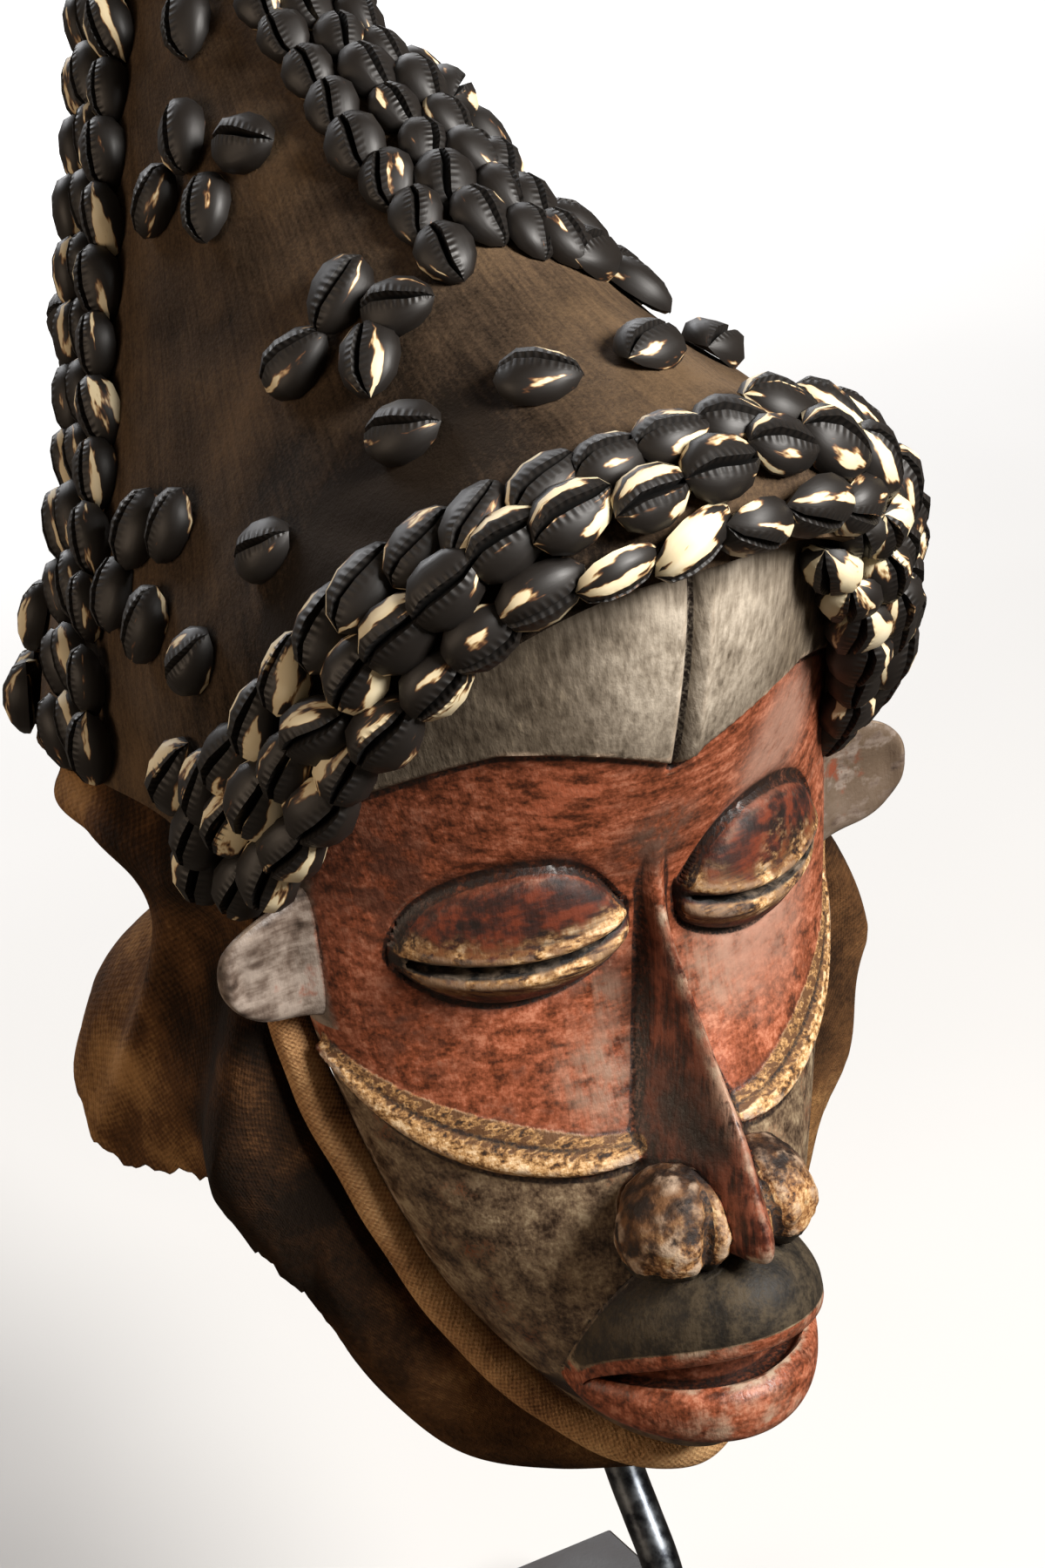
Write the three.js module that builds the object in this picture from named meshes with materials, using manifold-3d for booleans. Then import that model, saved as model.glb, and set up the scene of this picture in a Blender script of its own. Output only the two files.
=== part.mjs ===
// A carved wooden face mask with a leaning cowrie-covered hide hood, a neck cloth with a rolled hem,
// and the bent steel rod and steel block that hold it up.
// Millimetres, +Z up. The face looks along -Y. The origin is the centre of the block's underside.
// The mask is described in a frame of its own, upright, with its origin midway between the ears.

import * as THREE from 'three';
import { mergeVertices } from 'three/addons/utils/BufferGeometryUtils.js';
import Module from 'manifold-3d';

const wasm = await Module();
wasm.setup();

// Stand
const BLOCK_WIDTH = 124;
const BLOCK_DEPTH = 184;
const BLOCK_HEIGHT = 34;
const BLOCK_EDGE = 1.5;
const ROD_DIAMETER = 12;
const ROD_SIDES = 8;
const ROD_STEPS = 19;
const PAD_DIAMETER = 34;
const PAD_THICKNESS = 5;
const MASK_LEAN = 8.3;
const MASK_HEIGHT = 375;
const MASK_FORWARD = 78;
const GAP = 0.35;

// Face
const WOOD_WALL = 7;
const BROW_STEP = 2.6;
const BROW_V = 59;
const BROW_RISE = 12;
const EYE_INNER = 12;
const EYE_OUTER = 67;
const EYE_HEIGHT_ABOVE = 33;
const EYE_HEIGHT_BELOW = 17;
const EYE_BULGE = 10;
const SLIT_HEIGHT = 3.4;
const NOSE_ROOT_WIDTH = 5.5;
const NOSE_BASE_WIDTH = 15;
const NOSTRIL_RADIUS = 15;
const EAR_LENGTH = 30;
const EAR_THICKNESS = 9;
const CRESCENT_WIDTH = 11;
const CRESCENT_HEIGHT = 4.5;

// Hood
const HIDE_WALL = 4;
const HOOD_SIDES = 24;
const TIP_SHARE = 0.95;

// Cowries
const COWRIE_LENGTH = 22;
const COWRIE_WIDTH = 13.5;
const COWRIE_HEIGHT = 8.5;
const ROW_PITCH = 15;
const STRIP_BASE = 1.2;
const STRIP_THICKNESS = 2.6;
const BAND_LEAST_ROUND = 145;
const SHELL_LIFT = 0.8;

// Cloth
const CLOTH_THICKNESS = 2.2;
const CLOTH_BELLY = 7;
const CLOTH_BULGE = 12;
const HEM_DIAMETER = 11.5;
const HEM_SIDES = 8;
const HEM_STEPS = 20;

const v3 = (x, y, z) => new THREE.Vector3(x, y, z);
const radians = THREE.MathUtils.degToRad;
const clamp = THREE.MathUtils.clamp;
const mix = THREE.MathUtils.lerp;

// Smooth value between stations: each station is [place, value] and places rise.
function along(stations, place) {
  const last = stations.length - 1;
  let i = 0;
  while (i < last - 1 && place > stations[i + 1][0]) {
    i += 1;
  }
  const [x0, y0] = stations[i];
  const [x1, y1] = stations[i + 1];
  const slope = (a, b) => (stations[b][1] - stations[a][1]) / (stations[b][0] - stations[a][0]);
  const m0 = i > 0 ? slope(i - 1, i + 1) : slope(0, 1);
  const m1 = i + 1 < last ? slope(i, i + 2) : slope(last - 1, last);
  const h = x1 - x0;
  const t = clamp((place - x0) / h, 0, 1);
  const t2 = t * t;
  const t3 = t2 * t;
  return (2 * t3 - 3 * t2 + 1) * y0 + (t3 - 2 * t2 + t) * h * m0
    + (3 * t2 - 2 * t3) * y1 + (t3 - t2) * h * m1;
}

// Closed solid through rings of equal length, each end closed by a fan to its middle.
function loft(rings) {
  const count = rings[0].length;
  const points = rings.flat();
  const faces = [];
  for (let i = 0; i < rings.length - 1; i += 1) {
    for (let j = 0; j < count; j += 1) {
      const k = (j + 1) % count;
      const a = i * count;
      const b = a + count;
      faces.push([a + j, a + k, b + k], [a + j, b + k, b + j]);
    }
  }
  const middle = (ring) => ring.reduce((sum, p) => sum.add(p), v3(0, 0, 0)).divideScalar(count);
  const first = points.push(middle(rings[0])) - 1;
  const final = points.push(middle(rings[rings.length - 1])) - 1;
  const end = (rings.length - 1) * count;
  for (let j = 0; j < count; j += 1) {
    const k = (j + 1) % count;
    faces.push([first, k, j], [final, end + j, end + k]);
  }
  return closed(points, faces);
}

// Geometry from points and triangles, turned outward where the volume comes out negative.
function closed(points, faces) {
  let volume = 0;
  for (const [a, b, c] of faces) {
    volume += points[a].dot(points[b].clone().cross(points[c]));
  }
  const geometry = new THREE.BufferGeometry().setFromPoints(points);
  geometry.setIndex(faces.flatMap(([a, b, c]) => (volume > 0 ? [a, b, c] : [a, c, b])));
  return geometry;
}

function solid(geometry) {
  const bare = geometry.clone();
  bare.deleteAttribute('normal');
  bare.deleteAttribute('uv');
  const merged = mergeVertices(bare, 1e-4);
  return new wasm.Manifold(new wasm.Mesh({
    numProp: 3,
    vertProperties: new Float32Array(merged.attributes.position.array),
    triVerts: new Uint32Array(merged.index.array),
  }));
}

function geometryOf(body) {
  const mesh = body.getMesh();
  const geometry = new THREE.BufferGeometry();
  geometry.setAttribute('position', new THREE.BufferAttribute(new Float32Array(mesh.vertProperties), 3));
  geometry.setIndex(new THREE.BufferAttribute(new Uint32Array(mesh.triVerts), 1));
  return geometry;
}

const fuse = (bodies) => bodies.reduce((sum, body) => sum.add(body));

function placed(geometry, { at = v3(0, 0, 0), turn = [0, 0, 0], scale = v3(1, 1, 1) }) {
  const angles = new THREE.Euler(radians(turn[0]), radians(turn[1]), radians(turn[2]), 'ZYX');
  return geometry.applyMatrix4(new THREE.Matrix4().compose(at, new THREE.Quaternion().setFromEuler(angles), scale));
}

// Face surface. Stations run from the chin up: [height, value].
const FRONT = [[-169, 62], [-161, 76], [-140, 86], [-105, 82], [-66, 68], [-25, 51], [12, 50], [36, 58],
  [60, 67], [96, 77], [122, 80], [134, 76], [143, 66]];
const HALF_WIDTH = [[-169, 11], [-161, 24], [-148, 37], [-121, 54], [-86, 67], [-54, 76], [-20, 83],
  [20, 85], [60, 84], [96, 76], [118, 63], [134, 46], [143, 26]];
const RIM_DEPTH = [[-169, -54], [-161, -42], [-148, -26], [-121, -13], [-86, -7], [-54, -3], [-20, 1],
  [20, 3], [60, 2], [96, -10], [118, -26], [134, -42], [143, -54]];

const browLine = (x) => BROW_V + BROW_RISE * Math.sin(Math.PI * clamp(Math.abs(x) / 78, 0, 1)) ** 0.8
  - 10 * clamp((Math.abs(x) - 45) / 35, 0, 1);

function facePoint(angle, height, raise = 0) {
  const front = along(FRONT, height) + raise;
  const half = along(HALF_WIDTH, height) + raise;
  const rim = along(RIM_DEPTH, height);
  const flat = 1 - 0.07 * Math.sin(2 * angle) ** 2;
  return v3(half * Math.sin(angle) * flat, rim - (front + rim) * Math.cos(angle) * flat, height);
}

// Depth of the face surface straight behind a point seen from the front.
function faceDepth(x, z) {
  const half = along(HALF_WIDTH, z);
  const front = along(FRONT, z);
  const rim = along(RIM_DEPTH, z);
  const share = clamp(Math.abs(x) / half, 0, 0.999);
  return rim - (front + rim) * Math.sqrt(1 - share * share) * 0.985;
}

// Heights of the face's rows, with a pair of rows at the brow line that makes its step.
function faceRows(angle) {
  const x = facePoint(angle, BROW_V).x;
  const brow = browLine(x);
  const lower = [-169, -160, -142, -116, -86, -56, -24, 8, 34].map((z) => [z, 0]);
  const upper = [90, 112, 130, 143].map((z) => [z, BROW_STEP]);
  return [...lower, [brow - 1.2, 0], [brow, BROW_STEP], ...upper];
}

function facePlug(columns, rowsOf, wall, back) {
  const rowCount = rowsOf(0).length;
  const rings = [];
  for (let i = 0; i < rowCount; i += 1) {
    const ring = [];
    for (let j = 0; j <= columns; j += 1) {
      const angle = radians(mix(-90, 90, j / columns));
      const [height, raise] = rowsOf(angle)[i];
      ring.push(facePoint(angle, height, raise - wall));
    }
    if (back > 0) {
      ring.push(ring[columns].clone().add(v3(0, back, 0)), ring[0].clone().add(v3(0, back, 0)));
    }
    rings.push(ring);
  }
  return solid(loft(rings));
}

// Nose: a sharp-ridged wedge, then two round nostril lobes beside its tip.
const RIDGE = [[-79, 105], [-74, 107], [-60, 101], [-45, 94], [-30, 83], [-15, 73], [2, 63], [24, 56]];

function nose() {
  const heights = [-79, -72, -50, -28, -6, 14, 28];
  const rings = heights.map((z) => {
    const ridge = -along(RIDGE, z);
    const share = clamp((28 - z) / 107, 0, 1);
    const half = mix(NOSE_ROOT_WIDTH, NOSE_BASE_WIDTH, share ** 1.3);
    const back = ridge + mix(14, 62, share);
    const bow = mix(1.5, 3.5, share);
    const mid = ridge + (back - ridge) * 0.42;
    return [v3(0, ridge, z), v3(-half * 0.5 - bow * 0.5, mid, z), v3(-half, back, z),
      v3(half, back, z), v3(half * 0.5 + bow * 0.5, mid, z)];
  });
  const lobes = [-1, 1].map((side) => solid(placed(new THREE.SphereGeometry(NOSTRIL_RADIUS, 8, 6), {
    at: v3(side * 15.5, -80, -74), turn: [0, 0, side * 12], scale: v3(0.95, 1.15, 1.05),
  })));
  return fuse([solid(loft(rings)), ...lobes]);
}

// Eyes: coffee-bean lids that stand proud of the face, with a slit right through the wall.
function eyeSpan(share) {
  const x = mix(EYE_INNER, EYE_OUTER, share);
  const middle = mix(9, 1, share) - 3 * Math.sin(Math.PI * share);
  return [x, middle];
}

function eyeLid(side) {
  const rings = [];
  for (let i = 0; i <= 6; i += 1) {
    const share = mix(0.015, 0.985, i / 6);
    const [x, middle] = eyeSpan(share);
    const lens = Math.sqrt(1 - (2 * share - 1) ** 2);
    const ring = [];
    for (let j = 0; j <= 5; j += 1) {
      const turn = Math.PI * (j / 5);
      const tall = Math.cos(turn) > 0 ? EYE_HEIGHT_ABOVE - 4 : EYE_HEIGHT_BELOW;
      const z = middle + tall * lens * Math.cos(turn);
      const out = EYE_BULGE * lens * Math.sin(turn);
      ring.push(v3(side * x, faceDepth(x, z) + 2 - 2 * Math.sin(turn) - out, z));
    }
    ring.push(v3(side * x, faceDepth(x, middle) + 8, middle));
    rings.push(ring);
  }
  return solid(loft(rings));
}

function eyeSlit(side) {
  const rings = [];
  for (let i = 0; i <= 6; i += 1) {
    const [x, middle] = eyeSpan(mix(0.04, 0.97, i / 6));
    const front = faceDepth(x, middle) - 20;
    const half = mix(0.7, 1, Math.sin(Math.PI * i / 6)) * SLIT_HEIGHT / 2;
    rings.push([[front, half], [front, -half], [front + 60, -half], [front + 60, half]]
      .map(([y, up]) => v3(side * x, y, middle + up)));
  }
  return solid(loft(rings));
}

// Cheek bands: one raised crescent on each side, from under the ear to the wing of the nose.
function crescentPoint(side, share) {
  const x = mix(82, 13, share);
  const z = -62 + 40 * (1 - share) ** 2.1 - 4 * Math.sin(Math.PI * share);
  return v3(side * x, faceDepth(x, z) + 0.4, z);
}

function crescent(side) {
  const rings = [];
  for (let i = 0; i <= 7; i += 1) {
    const share = i / 7;
    const centre = crescentPoint(side, share);
    const swell = 0.35 + 0.65 * Math.sin(Math.PI * clamp(share * 0.8 + 0.12, 0, 1));
    const ring = [];
    for (let j = 0; j < 5; j += 1) {
      const turn = Math.PI * 0.4 * j + 0.3;
      const lift = v3(side * Math.sin(radians(50)) * (1 - share), -1, 0).normalize();
      ring.push(centre.clone().addScaledVector(lift, Math.sin(turn) * CRESCENT_HEIGHT * swell)
        .add(v3(0, 0, Math.cos(turn) * CRESCENT_WIDTH / 2 * swell)));
    }
    rings.push(ring);
  }
  return solid(loft(rings));
}

// Lips: a broad domed upper lip over a thick U-shaped lower lip, with the mouth cut between them.
const LIP_HALF_WIDTH = 38;

function lipDepth(x) {
  return -63 - 42 * Math.sqrt(1 - clamp(Math.abs(x) / LIP_HALF_WIDTH, 0, 0.999) ** 2);
}

function lip(top, bottom, bulge, corner) {
  const rings = [];
  for (let i = 0; i <= 7; i += 1) {
    const x = LIP_HALF_WIDTH * Math.sin(radians(mix(-86, 86, i / 7)));
    const share = Math.sqrt(1 - (x / LIP_HALF_WIDTH) ** 2);
    const high = mix(corner, top, share);
    const low = mix(corner - 1.5, bottom, share);
    const ring = [];
    for (let j = 0; j <= 4; j += 1) {
      const turn = Math.PI * (j / 4);
      const z = (high + low) / 2 + (high - low) / 2 * Math.cos(turn);
      ring.push(v3(x, lipDepth(x) + bulge * (1 - Math.sin(turn)), z));
    }
    ring.push(v3(x * 0.8, -50, low), v3(x * 0.8, -50, high));
    rings.push(ring);
  }
  return solid(loft(rings));
}

function mouthCut() {
  const rings = [];
  for (let i = 0; i <= 6; i += 1) {
    const x = mix(-27, 27, i / 6);
    const share = Math.sqrt(1 - (x / 31) ** 2);
    const z = mix(-137, -124, share);
    const half = mix(0.6, 3.2, share);
    const ahead = lipDepth(x) - 6;
    rings.push([v3(x, ahead, z + half), v3(x, ahead, z - half), v3(x, ahead + 24, z - half), v3(x, ahead + 24, z + half)]);
  }
  return solid(loft(rings));
}

// Ears: plain round-ended paddles that stand straight out.
function ear(side) {
  const outline = new THREE.Shape();
  outline.moveTo(-10, -17);
  outline.lineTo(4, -19.5);
  outline.absarc(EAR_LENGTH - 16, -2.5, 17, -Math.PI / 2.1, Math.PI / 2.1, false);
  outline.lineTo(4, 16.5);
  outline.lineTo(-10, 14);
  outline.closePath();
  const plate = new THREE.ExtrudeGeometry(outline, {
    depth: EAR_THICKNESS - 3, bevelEnabled: true, bevelThickness: 1.5, bevelSize: 1.5, bevelSegments: 1, curveSegments: 4,
  });
  placed(plate, { at: v3(0, 0, -EAR_THICKNESS / 2 + 1.5) });
  placed(plate, { turn: [90, 0, 0] });
  if (side < 0) {
    placed(plate, { turn: [0, 180, 0] });
  }
  return solid(placed(plate, { at: v3(side * 80, -4, 0), turn: [0, side * 8, side * -6] }));
}

// The groove that runs down the forehead to the point of the brow.
function browGroove() {
  const rings = [61, 82, 104, 124].map((z) => {
    const y = -along(FRONT, z) - BROW_STEP;
    return [v3(-2.4, y - 2, z), v3(0, y + 3, z), v3(2.4, y - 2, z)];
  });
  return solid(loft(rings));
}

function face() {
  const outer = facePlug(18, faceRows, 0, 0);
  const cavityRows = () => [-161, -134, -90, -30, 40, 100, 135].map((z) => [z, 0]);
  const cavity = facePlug(8, cavityRows, WOOD_WALL, 90);
  const features = [outer, nose(), lip(-89, -119, 5, -133), lip(-127, -147, 7, -134)];
  for (const side of [-1, 1]) {
    features.push(eyeLid(side), crescent(side), ear(side));
  }
  return fuse(features).subtract(cavity).subtract(mouthCut()).subtract(browGroove())
    .subtract(eyeSlit(-1)).subtract(eyeSlit(1));
}

// Hood surface: rim, knee and tip stations round one side, the other side mirrored.
const RIM = [v3(0, -91, 127), v3(30, -88, 125), v3(57, -75, 110), v3(79, -50, 80), v3(91, -22, 42),
  v3(96, 11, 13), v3(99, 48, 20), v3(102, 97, 12), v3(94, 165, -8), v3(54, 212, -24), v3(0, 228, -28)];
const KNEE = [v3(0, -84, 151), v3(30, -79, 148), v3(57, -62, 135), v3(78, -34, 113), v3(89, -2, 88),
  v3(94, 30, 70), v3(94, 68, 62), v3(91, 112, 52), v3(82, 168, 34), v3(48, 210, 20), v3(0, 226, 16)];
const TIP = v3(0, 243, 254);
const SHOULDER_SHARE = 0.26;
const MIDDLE_SHARE = 0.58;
const SHOULDER_SAG = 8;
const MIDDLE_SAG = 3;
const KEEL_DROP = 9;
const rimCurve = new THREE.CatmullRomCurve3(RIM, false, 'catmullrom', 0.5);
const kneeCurve = new THREE.CatmullRomCurve3(KNEE, false, 'catmullrom', 0.5);

function hoodSurface(turn, rise) {
  const full = Math.abs(((turn + 1) % 2 + 2) % 2 - 1);
  const side = ((turn % 2) + 2) % 2 > 1 ? 1 : -1;
  const rim = rimCurve.getPoint(full);
  const knee = kneeCurve.getPoint(full);
  const ahead = Math.cos(Math.PI * full / 2) ** 2;
  const shoulder = knee.clone().lerp(TIP, SHOULDER_SHARE);
  const middle = knee.clone().lerp(TIP, MIDDLE_SHARE);
  const flank = KEEL_DROP * Math.sin(Math.PI * clamp(full * 1.8, 0, 1)) ** 2;
  shoulder.z -= SHOULDER_SAG * ahead + flank;
  middle.z -= MIDDLE_SAG * ahead + flank * 0.5;
  const curve = new THREE.CatmullRomCurve3([rim, knee, shoulder, middle, TIP], false, 'catmullrom', 0.5);
  const point = curve.getPoint(clamp(rise, 0, 1));
  point.x *= -side;
  return point;
}

function hoodPoint(turn, rise, offset = 0) {
  const step = 0.004;
  const low = clamp(rise, step, 1 - 2 * step);
  const round = hoodSurface(turn + step, low).sub(hoodSurface(turn - step, low));
  const up = hoodSurface(turn, low + step).sub(hoodSurface(turn, low - step));
  const normal = round.cross(up).normalize();
  const point = hoodSurface(turn, rise);
  const outward = normal.dot(point.clone().sub(v3(0, 90, 40))) > 0 ? 1 : -1;
  return point.addScaledVector(normal, offset * outward);
}

const HOOD_ROWS = [0, 0.13, 0.25, 0.38, 0.5, 0.64, 0.8, TIP_SHARE];

function hoodRings(offset) {
  return HOOD_ROWS.map((rise) => {
    const ring = [];
    for (let j = 0; j < HOOD_SIDES; j += 1) {
      ring.push(hoodPoint(2 * j / HOOD_SIDES, rise, offset * (rise > 0.85 ? 0.7 : 1)));
    }
    return ring;
  });
}

function hood() {
  const outer = hoodRings(0);
  const inner = hoodRings(-HIDE_WALL);
  const tip = outer[outer.length - 1];
  const centre = tip.reduce((sum, p) => sum.add(p), v3(0, 0, 0)).divideScalar(tip.length);
  const lift = TIP.clone().sub(v3(0, 100, 30)).normalize();
  outer.push(tip.map((p) => p.clone().lerp(centre, 0.45).addScaledVector(lift, 4)));
  const rows = [...outer].reverse();
  const points = [...rows, ...inner].flat();
  const count = HOOD_SIDES;
  const total = rows.length + inner.length;
  const faces = [];
  for (let i = 0; i < total - 1; i += 1) {
    for (let j = 0; j < count; j += 1) {
      const k = (j + 1) % count;
      faces.push([i * count + j, i * count + k, (i + 1) * count + k]);
      faces.push([i * count + j, (i + 1) * count + k, (i + 1) * count + j]);
    }
  }
  const top = points.push(centre.clone().addScaledVector(lift, 5.5)) - 1;
  const under = inner[inner.length - 1];
  const roof = points.push(under.reduce((sum, p) => sum.add(p), v3(0, 0, 0)).divideScalar(count)) - 1;
  for (let j = 0; j < count; j += 1) {
    const k = (j + 1) % count;
    faces.push([top, k, j], [roof, (total - 1) * count + j, (total - 1) * count + k]);
  }
  return closed(points, faces);
}

// Cuts away whatever would touch the hood's outer facets.
function clearOfHood(geometry) {
  return geometryOf(solid(geometry).subtract(solid(loft(hoodRings(GAP).reverse()))));
}

// A cowrie with its back cut flat: a long six-sided base under a short ridge.
function cowrie(centre, normal, heading) {
  const long = heading.clone().addScaledVector(normal, -heading.dot(normal)).normalize();
  const wide = normal.clone().cross(long);
  const spot = (l, w, h) => centre.clone().addScaledVector(long, l * COWRIE_LENGTH)
    .addScaledVector(wide, w * COWRIE_WIDTH).addScaledVector(normal, h * COWRIE_HEIGHT);
  const base = [[0.5, 0], [0.22, 0.5], [-0.22, 0.46], [-0.5, 0], [-0.22, -0.46], [0.22, -0.5]]
    .map(([l, w]) => spot(l, w, 0));
  const points = [...base, spot(0.18, 0, 1), spot(-0.2, 0, 0.94)];
  return closed(points, [[0, 1, 6], [1, 2, 7], [1, 7, 6], [2, 3, 7], [3, 4, 7], [4, 5, 6], [4, 6, 7], [5, 0, 6],
    [0, 2, 1], [0, 3, 2], [0, 4, 3], [0, 5, 4]]);
}

// Point, outward normal and two headings of the hood's surface.
function hoodSeat(turn, rise, offset) {
  const centre = hoodPoint(turn, rise, offset);
  const normal = hoodPoint(turn, rise, offset + 5).sub(centre).normalize();
  const round = hoodPoint(turn + 0.01, rise, offset).sub(hoodPoint(turn - 0.01, rise, offset)).normalize();
  const up = hoodPoint(turn, rise + 0.01, offset).sub(hoodPoint(turn, rise - 0.01, offset)).normalize();
  return { centre, normal, round, up };
}

// Place on the hood across a band's middle line: a distance up the hood, or a turn round it.
function across([turn, rise], sideways, crosswise) {
  if (crosswise) {
    const width = hoodPoint(turn + 0.02, rise).distanceTo(hoodPoint(turn - 0.02, rise)) / 0.04;
    return [turn + sideways / Math.max(width, BAND_LEAST_ROUND), rise];
  }
  const stride = Math.sign(sideways) * 0.003;
  let here = hoodPoint(turn, rise);
  let walked = 0;
  while (walked < Math.abs(sideways) && rise + stride > 0.004) {
    const next = hoodPoint(turn, rise + stride);
    walked += next.distanceTo(here);
    rise += stride;
    here = next;
  }
  return [turn, rise];
}

// A band of cowries on a strip of hide: route(share) gives the middle line as turn and rise.
// Lines of points run along the band, half a shell apart; a shell fills two spaces between lines.
function cowrieBand(route, rows, count, crosswise = false) {
  const halves = 2 * count + 1;
  const points = [];
  const faces = [];
  const add = (turn, rise, offset) => points.push(hoodPoint(turn, rise, offset)) - 1;
  const spot = (line, i) => across(route(i / halves), (line - rows / 2) * ROW_PITCH, crosswise);
  const top = [];
  const under = [];
  for (let line = 0; line <= rows; line += 1) {
    const spots = Array.from({ length: halves + 1 }, (_, i) => spot(line, i));
    top.push(spots.map(([turn, rise]) => add(turn, rise, STRIP_BASE + STRIP_THICKNESS)));
    under.push(spots.map(([turn, rise]) => add(turn, rise, STRIP_BASE)));
  }
  for (let row = 0; row < rows; row += 1) {
    const first = row % 2;
    const [low, high] = [top[row], top[row + 1]];
    for (let i = 0; i < halves; i += 1) {
      faces.push([under[row][i], under[row + 1][i + 1], under[row][i + 1]]);
      faces.push([under[row][i], under[row + 1][i], under[row + 1][i + 1]]);
      const spare = (first === 0 && i === halves - 1) || (first === 1 && i === 0);
      if (spare) {
        faces.push([low[i], low[i + 1], high[i + 1]], [low[i], high[i + 1], high[i]]);
      }
    }
    for (let i = first; i + 2 <= halves; i += 2) {
      const seat = (along01, across01, lift) => {
        const here = [...route((i + 2 * along01) / halves)];
        const [turn, rise] = across(here, (row + across01 - rows / 2) * ROW_PITCH, crosswise);
        return add(turn, rise, STRIP_BASE + lift);
      };
      const rim = [[0.05, 0.5], [0.3, 0.06], [0.7, 0.06], [0.95, 0.5], [0.7, 0.94], [0.3, 0.94]]
        .map(([a, b]) => seat(a, b, STRIP_THICKNESS));
      const crown = [seat(0.32, 0.5, COWRIE_HEIGHT), seat(0.7, 0.5, COWRIE_HEIGHT + 0.5)];
      faces.push([rim[0], rim[1], crown[0]], [rim[1], crown[1], crown[0]], [rim[1], rim[2], crown[1]],
        [rim[2], rim[3], crown[1]], [rim[3], rim[4], crown[1]], [rim[4], crown[0], crown[1]],
        [rim[4], rim[5], crown[0]], [rim[5], rim[0], crown[0]]);
      const edge = [low[i], low[i + 1], low[i + 2], high[i + 2], high[i + 1], high[i]];
      faces.push([edge[0], rim[1], rim[0]], [edge[0], edge[1], rim[1]], [edge[1], rim[2], rim[1]],
        [edge[1], edge[2], rim[2]], [edge[2], rim[3], rim[2]], [edge[2], edge[3], rim[3]],
        [edge[3], rim[4], rim[3]], [edge[3], edge[4], rim[4]], [edge[4], rim[5], rim[4]],
        [edge[4], edge[5], rim[5]], [edge[5], rim[0], rim[5]], [edge[5], edge[0], rim[0]]);
    }
  }
  for (let i = 0; i < halves; i += 1) {
    faces.push([under[0][i], under[0][i + 1], top[0][i + 1]], [under[0][i], top[0][i + 1], top[0][i]]);
    faces.push([under[rows][i], top[rows][i + 1], under[rows][i + 1]], [under[rows][i], top[rows][i], top[rows][i + 1]]);
  }
  for (let row = 0; row < rows; row += 1) {
    faces.push([under[row][0], top[row][0], top[row + 1][0]], [under[row][0], top[row + 1][0], under[row + 1][0]]);
    faces.push([under[row][halves], top[row + 1][halves], top[row][halves]],
      [under[row][halves], under[row + 1][halves], top[row + 1][halves]]);
  }
  return closed(points, faces);
}

function browBand() {
  const height = (turn) => 0.17 - 0.07 * clamp((Math.abs(turn) - 0.25) / 0.27, 0, 1);
  return cowrieBand((share) => [mix(-0.545, 0.545, share), height(mix(-0.545, 0.545, share))], 3, 13);
}

function crestBand() {
  return cowrieBand((share) => [0, mix(0.55, 0.95, share)], 3, 9, true);
}

function sideBand(side) {
  return cowrieBand((share) => [side * 0.7, mix(0.02, 0.94, share)], 3, 10, true);
}

function rearBand() {
  return cowrieBand((share) => [mix(0.8, 1.2, share), 0.13], 2, 8);
}

// Loose cowries, each sewn on by itself: in fours, in twos and singly, on both flanks of the hood.
// Each is [turn, rise, heading in degrees from the way up to the tip].
const SEWN = {
  four_high: [[0.341, 0.742, -6], [0.226, 0.712, 54], [0.46, 0.705, -51], [0.324, 0.685, -12]],
  four_low: [[0.18, 0.566, -57], [0.13, 0.53, 63], [0.25, 0.535, 96], [0.18, 0.5, -21]],
  four_rear: [[0.86, 0.62, -6], [0.91, 0.57, 60], [0.81, 0.57, -60], [0.86, 0.515, 6]],
  pair_up: [[0.572, 0.4, -36], [0.5, 0.42, -54]],
  pair_down: [[0.625, 0.315, -15], [0.56, 0.3, -45]],
  one_tip: [[0.259, 0.813, -15]],
  one_middle: [[0.06, 0.405, 60]],
  one_low: [[0.183, 0.416, 54]],
  one_side: [[0.345, 0.369, 69]],
  one_back: [[0.478, 0.275, 108]],
};

function sewnCowrie([turn, rise, lean], side) {
  const { centre, normal, up } = hoodSeat(side * turn, rise, SHELL_LIFT);
  return cowrie(centre, normal, up.applyAxisAngle(normal, radians(-side * lean)));
}

// Hem: a roll of cloth that lies against the edge of the wood, from ear to ear under the chin.
const HEM_HALF = [v3(0, -57, -177), v3(25, -40, -169), v3(44, -20, -151), v3(60, -6, -122), v3(72, 1, -87),
  v3(82, 6, -54), v3(88, 9, -28)];
const hemCurve = new THREE.CatmullRomCurve3(
  [...[...HEM_HALF].reverse().map((p) => v3(-p.x, p.y, p.z)), ...HEM_HALF.slice(1)], false, 'catmullrom', 0.5);

function hem() {
  const section = new THREE.Shape();
  section.absarc(0, 0, HEM_DIAMETER / 2, 0, 2 * Math.PI, false);
  const tube = new THREE.ExtrudeGeometry(section, {
    steps: HEM_STEPS, extrudePath: hemCurve, bevelEnabled: false, curveSegments: HEM_SIDES / 2,
  });
  return tube;
}

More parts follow.
